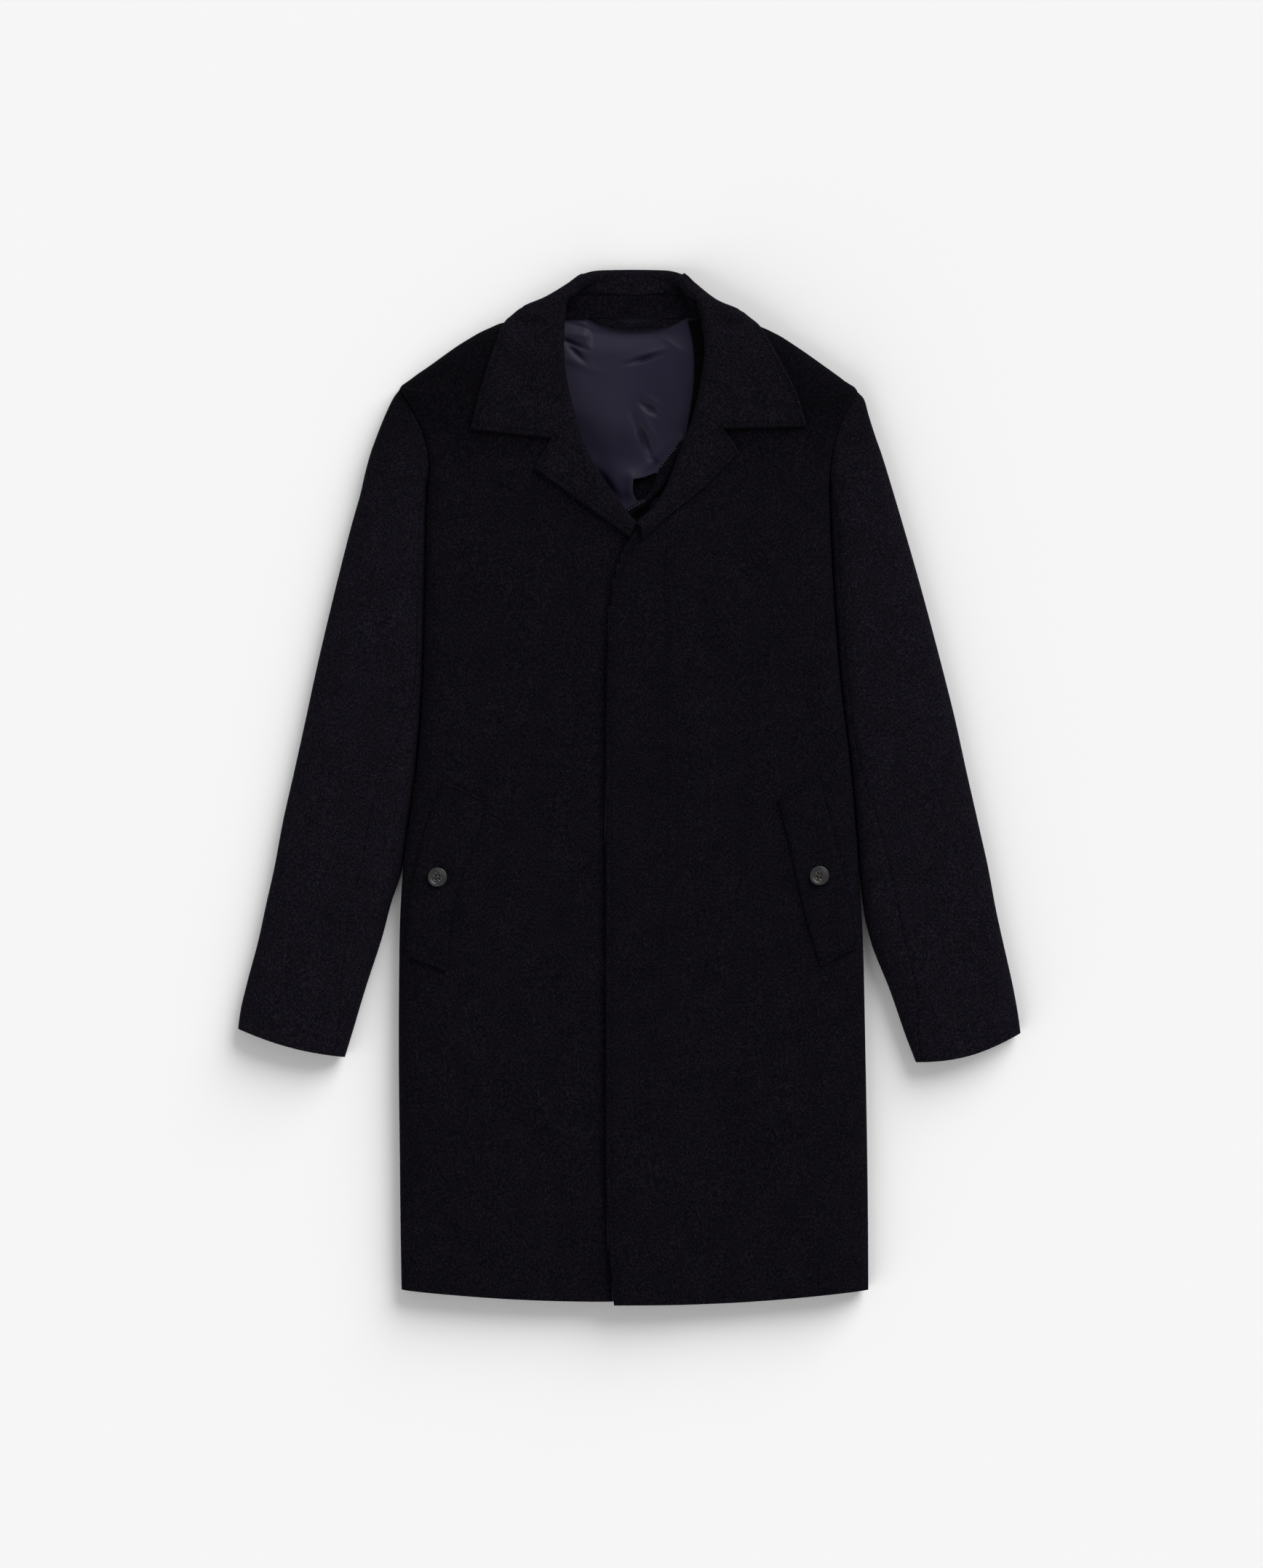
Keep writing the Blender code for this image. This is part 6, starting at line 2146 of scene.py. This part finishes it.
@dataclass
class HornButton:
    """A turned four-hole button sewn to its welt."""

    welt: PocketWelt
    wardrobe: Wardrobe
    radius: float = 9.7
    thickness: float = 3.4
    rim: float = 2.2
    dish: float = 0.8
    slope: float = 1.2  # width of the slope from the dish up to the rim
    crown: float = 0.08
    round_top: float = 1.0
    round_back: float = 1.2
    hole: float = 0.95
    pitch: float = 3.6
    facets: int = 72
    drill_length: float = 20.0
    thread: float = 0.5
    strands: tuple[float, ...] = (-0.45, 0.0, 0.45)  # how far the strands of one stitch lie apart
    sunk: float = 1.1  # how deep the strands start in the holes
    arch: float = 1.45  # how far they rise from there

    def profile(self) -> list[tuple[float, float]]:
        """Half section from the axis round the rim and back, millimetres.

        Returns:
            Distances from the axis and heights.
        """
        radius, thick = self.radius, self.thickness
        inner = radius - self.rim
        slope, round_top, round_back = self.slope, self.round_top, self.round_back
        points = [(0.0, thick - self.dish), (inner - slope - 0.4, thick - self.dish)]
        for k in range(5):
            t = k / 4
            points.append((inner - slope + slope * t, thick - self.dish * (1 - float(smooth_step(t)))))
        points.append(((inner + radius - round_top) / 2, thick + self.crown))
        for k in range(7):
            turn = math.pi / 2 * k / 6
            points.append((radius - round_top + math.sin(turn), thick - round_top + math.cos(turn)))
        for k in range(1, 6):
            turn = math.pi / 2 * k / 5
            along, up = round_back * math.cos(turn), round_back * math.sin(turn)
            points.append((radius - round_back + along, round_back - up))
        points.append((0.0, 0.0))
        return points

    def build(self) -> list[Object]:
        """Turn, drill, seat and sew the button.

        Returns:
            The button and its thread.
        """
        side = self.welt.front.side
        x, y = BUTTON_AT[side]
        grid = self.welt.grid
        i, j = np.unravel_index(np.hypot(grid[..., 0] - x, grid[..., 1] - y).argmin(), grid.shape[:2])
        normal = Vector(surface_normals(grid)[i, j])
        slope = -normal.x / normal.z, -normal.y / normal.z
        height = grid[i, j, 2] + slope[0] * (x - grid[i, j, 0]) + slope[1] * (y - grid[i, j, 1])
        seat = (Vector((x, y, height)) + normal * SEAM * 1.5) * MM
        turn = normal.to_track_quat("Z", "Y")
        body = self.turned(side)
        thread = self.sewn(side)
        for piece in (body, thread):
            for vertex in piece.data.vertices:
                vertex.co = turn @ vertex.co + seat
            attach(piece, "root")
        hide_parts(f"button_{side.value}")
        LOG.info("%s: %.1f mm across", body.name, 2 * self.radius)
        return [body, thread]

    def turned(self, side: Side) -> Object:
        """The button's own solid, drilled, at the origin.

        Args:
            side: Whose button it is.

        Returns:
            The button.
        """
        shape = bmesh.new()
        profile = [shape.verts.new((r * MM, 0.0, z * MM)) for r, z in self.profile()]
        for one, two in zip(profile, profile[1:]):
            shape.edges.new((one, two))
        whole = {"geom": shape.verts[:] + shape.edges[:], "angle": math.tau, "use_merge": True}
        bmesh.ops.spin(shape, axis=(0, 0, 1), cent=(0, 0, 0), steps=self.facets, **whole)
        bmesh.ops.remove_doubles(shape, verts=shape.verts, dist=0.00001)
        bmesh.ops.recalc_face_normals(shape, faces=shape.faces)
        mesh = bpy.data.meshes.new(f"button_{side.value}_horn")
        shape.to_mesh(mesh)
        shape.free()
        body = add_piece(mesh.name, mesh, self.wardrobe.horn)
        drills = bmesh.new()
        bore = {"radius1": self.hole * MM, "radius2": self.hole * MM, "depth": self.drill_length * MM}
        for x, y in ((-0.5, -0.5), (-0.5, 0.5), (0.5, -0.5), (0.5, 0.5)):
            bit = bmesh.ops.create_cone(drills, cap_ends=True, segments=18, **bore)
            bmesh.ops.translate(drills, verts=bit["verts"], vec=(x * self.pitch * MM, y * self.pitch * MM, 0))
        cutter_mesh = bpy.data.meshes.new("drill_bits")
        drills.to_mesh(cutter_mesh)
        drills.free()
        cutter = add_piece("drill_bits", cutter_mesh)
        cut = body.modifiers.new("holes", "BOOLEAN")
        cut.object = cutter
        made_plain(body)
        bpy.data.objects.remove(cutter, do_unlink=True)
        body.data.shade_smooth()
        return body

    def sewn(self, side: Side) -> Object:
        """Strands of thread through the four holes, at the origin.

        Args:
            side: Whose button it is.

        Returns:
            The thread.
        """
        shape = bmesh.new()
        half = self.pitch / 2
        top = self.thickness - self.dish
        for across in (-half, half):
            for strand in self.strands:
                path = []
                for t in np.linspace(0, 1, 13):
                    height = top - self.sunk + self.arch * math.sin(math.pi * (t * 1.3 - 0.15))
                    path.append((half * -math.cos(math.pi * t), across + strand, height))
                self.tube(shape, path, self.thread / 2)
        mesh = bpy.data.meshes.new(f"button_{side.value}_thread")
        shape.to_mesh(mesh)
        shape.free()
        mesh.shade_smooth()
        return add_piece(mesh.name, mesh, self.wardrobe.button_thread)

    @staticmethod
    def tube(shape: bmesh.types.BMesh, path: Sequence[tuple[float, float, float]], radius: float) -> None:
        """Add a closed round strand along a path of millimetre points.

        Args:
            shape: The mesh to add to.
            path: Its centre line.
            radius: Its radius, millimetres.
        """
        points = np.asarray(path, float)
        along = unit(np.gradient(points, axis=0))
        side = unit(np.cross(along, np.array([0.0, 1.0, 0.0])))
        other = np.cross(side, along)
        rings = []
        for k, point in enumerate(points):
            angle = np.arange(8) * math.tau / 8
            ring = point + radius * (np.cos(angle)[:, None] * side[k] + np.sin(angle)[:, None] * other[k])
            rings.append([shape.verts.new(Vector(p) * MM) for p in ring])
        for one, two in zip(rings, rings[1:]):
            for k in range(8):
                shape.faces.new((one[k], one[(k + 1) % 8], two[(k + 1) % 8], two[k]))
        shape.faces.new(rings[0][::-1])
        shape.faces.new(rings[-1])


# ------------------------------------------------------------------ inside the neck
@dataclass
class NeckInside:
    """What shows inside the neck opening: the satin lining, the facing beside it and the hanger loop."""

    wardrobe: Wardrobe
    left_x: float = -88.0
    right_x: float = 96.0
    taper: float = 21.0
    low_y: float = 240.0
    shown_y: float = 262.0  # from here on the lining is drawn finely
    high_y: float = 480.0
    cell: float = 1.12
    loose: float = 4.6  # how far the lining rides over the back
    loose_over: float = 26.0  # over how far it rises from where it is held at the neck seam
    held: float = 14.0  # how much farther from the neck seam it is held on the left
    slack_x: tuple[float, float] = (-36.0, 10.0)  # where that ends on the right, and over how far
    least_lift: float = 0.15
    uneven: float = 0.35
    uneven_pitch: float = 40.0
    seam_z: float = 14.6
    lip: float = 4.5  # how far the lining stands up round the hollow
    lip_width: float = 8.0
    rim_reach: float = 0.6  # share of a cell from which a point is drawn to the hollow's edge
    shoulder_y: tuple[float, float] = (435.0, 30.0)  # where the lining grows narrower, and over how far
    facing_wall: float = 1.6
    strip_rise: float = 5.0  # from the strip's inner to its outer edge
    strip_foot: tuple[float, float] = (4.0, 1.6)  # how far its lower end is lifted, and over how many rows
    loop_arch: float = 0.5
    loop_width: float = 8.0
    loop_wall: float = 2.0

    def __post_init__(self) -> None:
        """Round the hollow's outline; the lining lies to its left."""
        self.hollow = dense_line(HOLLOW, 1.0, 6)

    def lining_height(self, x: Array, y: Array) -> Array:
        """Height of the lining's face with its soft creases and its rise to the facing's seam.

        Args:
            x: Plan places, millimetres.
            y: Plan places, millimetres.

        Returns:
            The height at each place.
        """
        slack_x, slack_over = self.slack_x
        held = self.high_y - self.held + self.held * ramp(x, slack_x, -slack_over)
        loose = ramp(y, held, -self.loose_over)
        relief = fold_relief(LINING_FOLDS, x, y) + self.uneven * ripple(x, y, self.uneven_pitch, 5)
        laid = back_rise(x, y) + SHELL + LAY + SATIN_WALL
        height = laid + np.maximum(self.least_lift, loose * (self.loose + relief))
        seam = plan_of(FACING_ROWS, "seam", np.linspace(0, len(FACING_ROWS) - 1, 90))
        beside, at_lip = (line_distance(np.dstack([x, y]), line)[0] for line in (seam, self.hollow))
        height += self.lip * bell(at_lip, self.lip_width)
        return height + np.maximum(self.seam_z - height, 0.0) * bell(beside, self.lip_width)

    def build_lining(self) -> Object:
        """Make the lining, loose on the back.

        Returns:
            The lining.
        """
        fine = np.arange(self.shown_y, self.high_y + 0.1, self.cell)
        y = np.concatenate([np.arange(self.low_y, self.shown_y, 4.0), fine])
        narrow = self.taper * ramp(y, *self.shoulder_y)
        shares = np.linspace(0, 1, int((self.right_x - self.left_x) / self.cell))
        start = self.left_x + narrow
        x = start[:, None] + (self.right_x - narrow - start)[:, None] * shares
        plan = np.dstack([x, np.broadcast_to(y[:, None], x.shape)])
        away, where = line_distance(plan, self.hollow, signed=True)
        rim = np.dstack([np.interp(where, range(len(self.hollow)), self.hollow[:, k]) for k in (0, 1)])
        near = np.abs(away) < self.rim_reach * self.cell
        plan[near] = rim[near]
        middle = (plan[:-1, :-1] + plan[:-1, 1:] + plan[1:, 1:] + plan[1:, :-1]) / 4
        keep = line_distance(middle, self.hollow, signed=True)[0] > 0
        grid = np.dstack([plan, self.lining_height(plan[..., 0], plan[..., 1])])
        return self.wardrobe.lay("back_lining_satin", grid, SATIN_WALL, ["back"], keep=keep)

    def build_facing(self) -> Object:
        """Make the strip of facing between the lining and the roll.

        Returns:
            The strip.
        """
        at = np.linspace(0, len(FACING_ROWS) - 1, 110)
        lines = [plan_of(FACING_ROWS, name, at) for name in ("tuck", "seam", "fold", "far")]
        across = np.linspace(0, 3, 76)
        ends = [[[line[row, axis] for line in lines] for axis in (0, 1)] for row in range(len(at))]
        plan = np.array([[through(places, across) for places in row] for row in ends])
        keys, heights = FACING_PROFILE
        height = through(heights, np.interp(across, keys, range(len(keys))))
        grid = np.dstack([*np.moveaxis(plan, 1, 0), np.broadcast_to(height, (len(at), len(across)))])
        shell = {"flip": True, "added": True}
        return self.wardrobe.lay("neck_facing_cloth", grid, self.facing_wall, ["back_lining"], **shell)

    def build_strip(self) -> Object:
        """Make the strip of facing up the left side of the neck, where the roll's shade falls, drawn darker
        with painted shade.

        Returns:
            The strip.
        """
        at = np.linspace(0, len(STRIP_ROWS) - 1, 90)
        inner, outer = plan_of(STRIP_ROWS, "inner", at), plan_of(STRIP_ROWS, "outer", at)
        across = np.linspace(0, 1, 16)
        plan = inner[:, None] + (outer - inner)[:, None] * across[:, None]
        foot, foot_rows = self.strip_foot
        lift = foot * (1.0 - smooth_step(at / foot_rows))[:, None] + self.strip_rise * smooth_step(across)
        height = self.lining_height(plan[..., 0], plan[..., 1]) + LAY + self.facing_wall + lift
        grid = np.dstack([plan, height])
        # painted shade: the strip is drawn darker where the roll shades it
        shell = {"values": {"nap": PAINTED_LIGHT["shaded"]}, "added": True}
        return self.wardrobe.lay("neck_strip_cloth", grid, self.facing_wall, ["back_lining"], **shell)

    def build_loop(self) -> Object:
        """Make the loop that hangs from the neck seam.

        Returns:
            The loop.
        """
        at = np.linspace(0, len(HANGER_LOOP) - 1, 60)
        x, y, lift = (column(HANGER_LOOP, name, at) for name in ("x", "y", "lift"))
        along = unit(np.column_stack([np.gradient(x), np.gradient(y)]))
        rows = []
        for offset in np.linspace(-0.5, 0.5, 9):
            px, py = x + along[:, 1] * self.loop_width * offset, y - along[:, 0] * self.loop_width * offset
            base = back_rise(px, py) + SHELL + LAY + SATIN_WALL + LAY
            arch = self.loop_arch * (1 - (2 * offset) ** 2)
            rows.append(np.column_stack([px, py, base + self.loop_wall + lift + arch]))
        wall = self.loop_wall + np.minimum(lift, 0.0)
        mesh = shell_mesh("hanger_loop_cloth", np.array(rows)[::-1], wall)
        piece = add_piece(mesh.name, mesh, self.wardrobe.wool)
        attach(piece, "root")
        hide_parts("hanger_loop")
        return piece


# ------------------------------------------------------------------ studio
class Lamp(NamedTuple):
    """A broad far lamp: where it stands, its power and how wide it looks, in degrees."""

    name: str
    at: tuple[float, float, float]
    power: float
    spread: float


@dataclass
class Studio:
    """A pale floor, light from all round, two broad soft lamps and a camera above."""

    picture_height: float = 1.595  # metres of floor that the picture's height covers
    centre: tuple[float, float] = (0.003, 0.0033)
    camera_height: float = 6.5
    camera_plane: float = 0.014  # height at which the scale holds
    sensor: float = 36.0  # mm, along the picture's longer side
    lamps: tuple[Lamp, ...] = table(
        Lamp, ("key", (1.05, 1.4, 1.0), 3.45, 46.0), ("fill", (-1.2, -1.2, 1.0), 1.43, 60.0)
    )
    sky: float = 0.336
    floor_half: float = 7.0  # metres from the middle of the floor to its edges

    def build(self) -> None:
        """Make the floor, lights and camera."""
        scene = bpy.context.scene
        scene.view_settings.view_transform = "Standard"
        scene.view_settings.look = "None"
        board = bpy.data.meshes.new("floor")
        half = self.floor_half
        corners = [(-half, -half, 0.0), (half, -half, 0.0), (half, half, 0.0), (-half, half, 0.0)]
        board.from_pydata(corners, [], [(0, 1, 2, 3)])
        add_piece("floor", board, PaintedFloor().material())
        world = bpy.data.worlds.new("studio")
        world.use_nodes = True
        background = world.node_tree.nodes["Background"].inputs
        background["Color"].default_value = (1.0, 1.0, 1.0, 1.0)
        background["Strength"].default_value = self.sky
        scene.world = world
        for lamp in self.lamps:
            light = bpy.data.lights.new(lamp.name, "SUN")
            light.angle = math.radians(lamp.spread)
            light.energy = lamp.power
            piece = bpy.data.objects.new(lamp.name, light)
            piece.rotation_euler = (-Vector(lamp.at)).to_track_quat("-Z", "Y").to_euler()
            scene.collection.objects.link(piece)
        lens = bpy.data.cameras.new("above")
        lens.sensor_width = self.sensor
        distance = self.camera_height - self.camera_plane
        lens.lens = self.sensor / 2 / (self.picture_height / 2 / distance)
        lens.clip_end = 60.0
        camera = bpy.data.objects.new("above", lens)
        camera.location = (*self.centre, self.camera_height)
        scene.collection.objects.link(camera)
        scene.camera = camera


def main() -> None:
    """Build the coat piece by piece, then the studio."""
    logging.basicConfig(level=logging.INFO, format="%(message)s")
    wardrobe = Wardrobe()
    fronts = {side: FrontPanel(side, wardrobe) for side in Side}
    roll_lines = {side: RollLine(front) for side, front in fronts.items()}
    cloths = {side: front.build() for side, front in fronts.items()}
    edge = inset_line(fronts[Side.LEFT].edge_line(), EDGE_STITCH, (100.0, 0.0))
    lines = [lay_on(cloths[Side.LEFT], path) for path in (FLY_PATH, edge)]
    BackPanel(fronts[Side.RIGHT], fronts[Side.LEFT], wardrobe).build()
    for side in Side:
        SleevePair(side, wardrobe).build()
        lapel = Lapel(fronts[side], roll_lines[side], wardrobe)
        lapel.build()
        welt = PocketWelt(fronts[side], wardrobe)
        welt.build()
        HornButton(welt, wardrobe).build()
        lines += lapel.stitches + welt.stitches
    collar = Collar(fronts, roll_lines, wardrobe)
    collar.build_fall()
    collar.build_stand()
    inside = NeckInside(wardrobe)
    inside.build_lining()
    facing = inside.build_facing()
    inside.build_strip()
    inside.build_loop()
    StitchRow("edge_topstitch").sew(lines + collar.stitches, wardrobe.thread)
    StitchRow("lapel_buttonhole", 0.85, 0.75, 0.6).sew(lapel.buttonhole, wardrobe.thread)
    felled = [lay_on(facing, dense_line(line, LINE_STEP)) for line in FELLED]
    StitchRow("facing_felling", 2.9, 2.3, 0.5).sew(felled, wardrobe.felling)
    Studio().build()


if __name__ == "__main__":
    main()
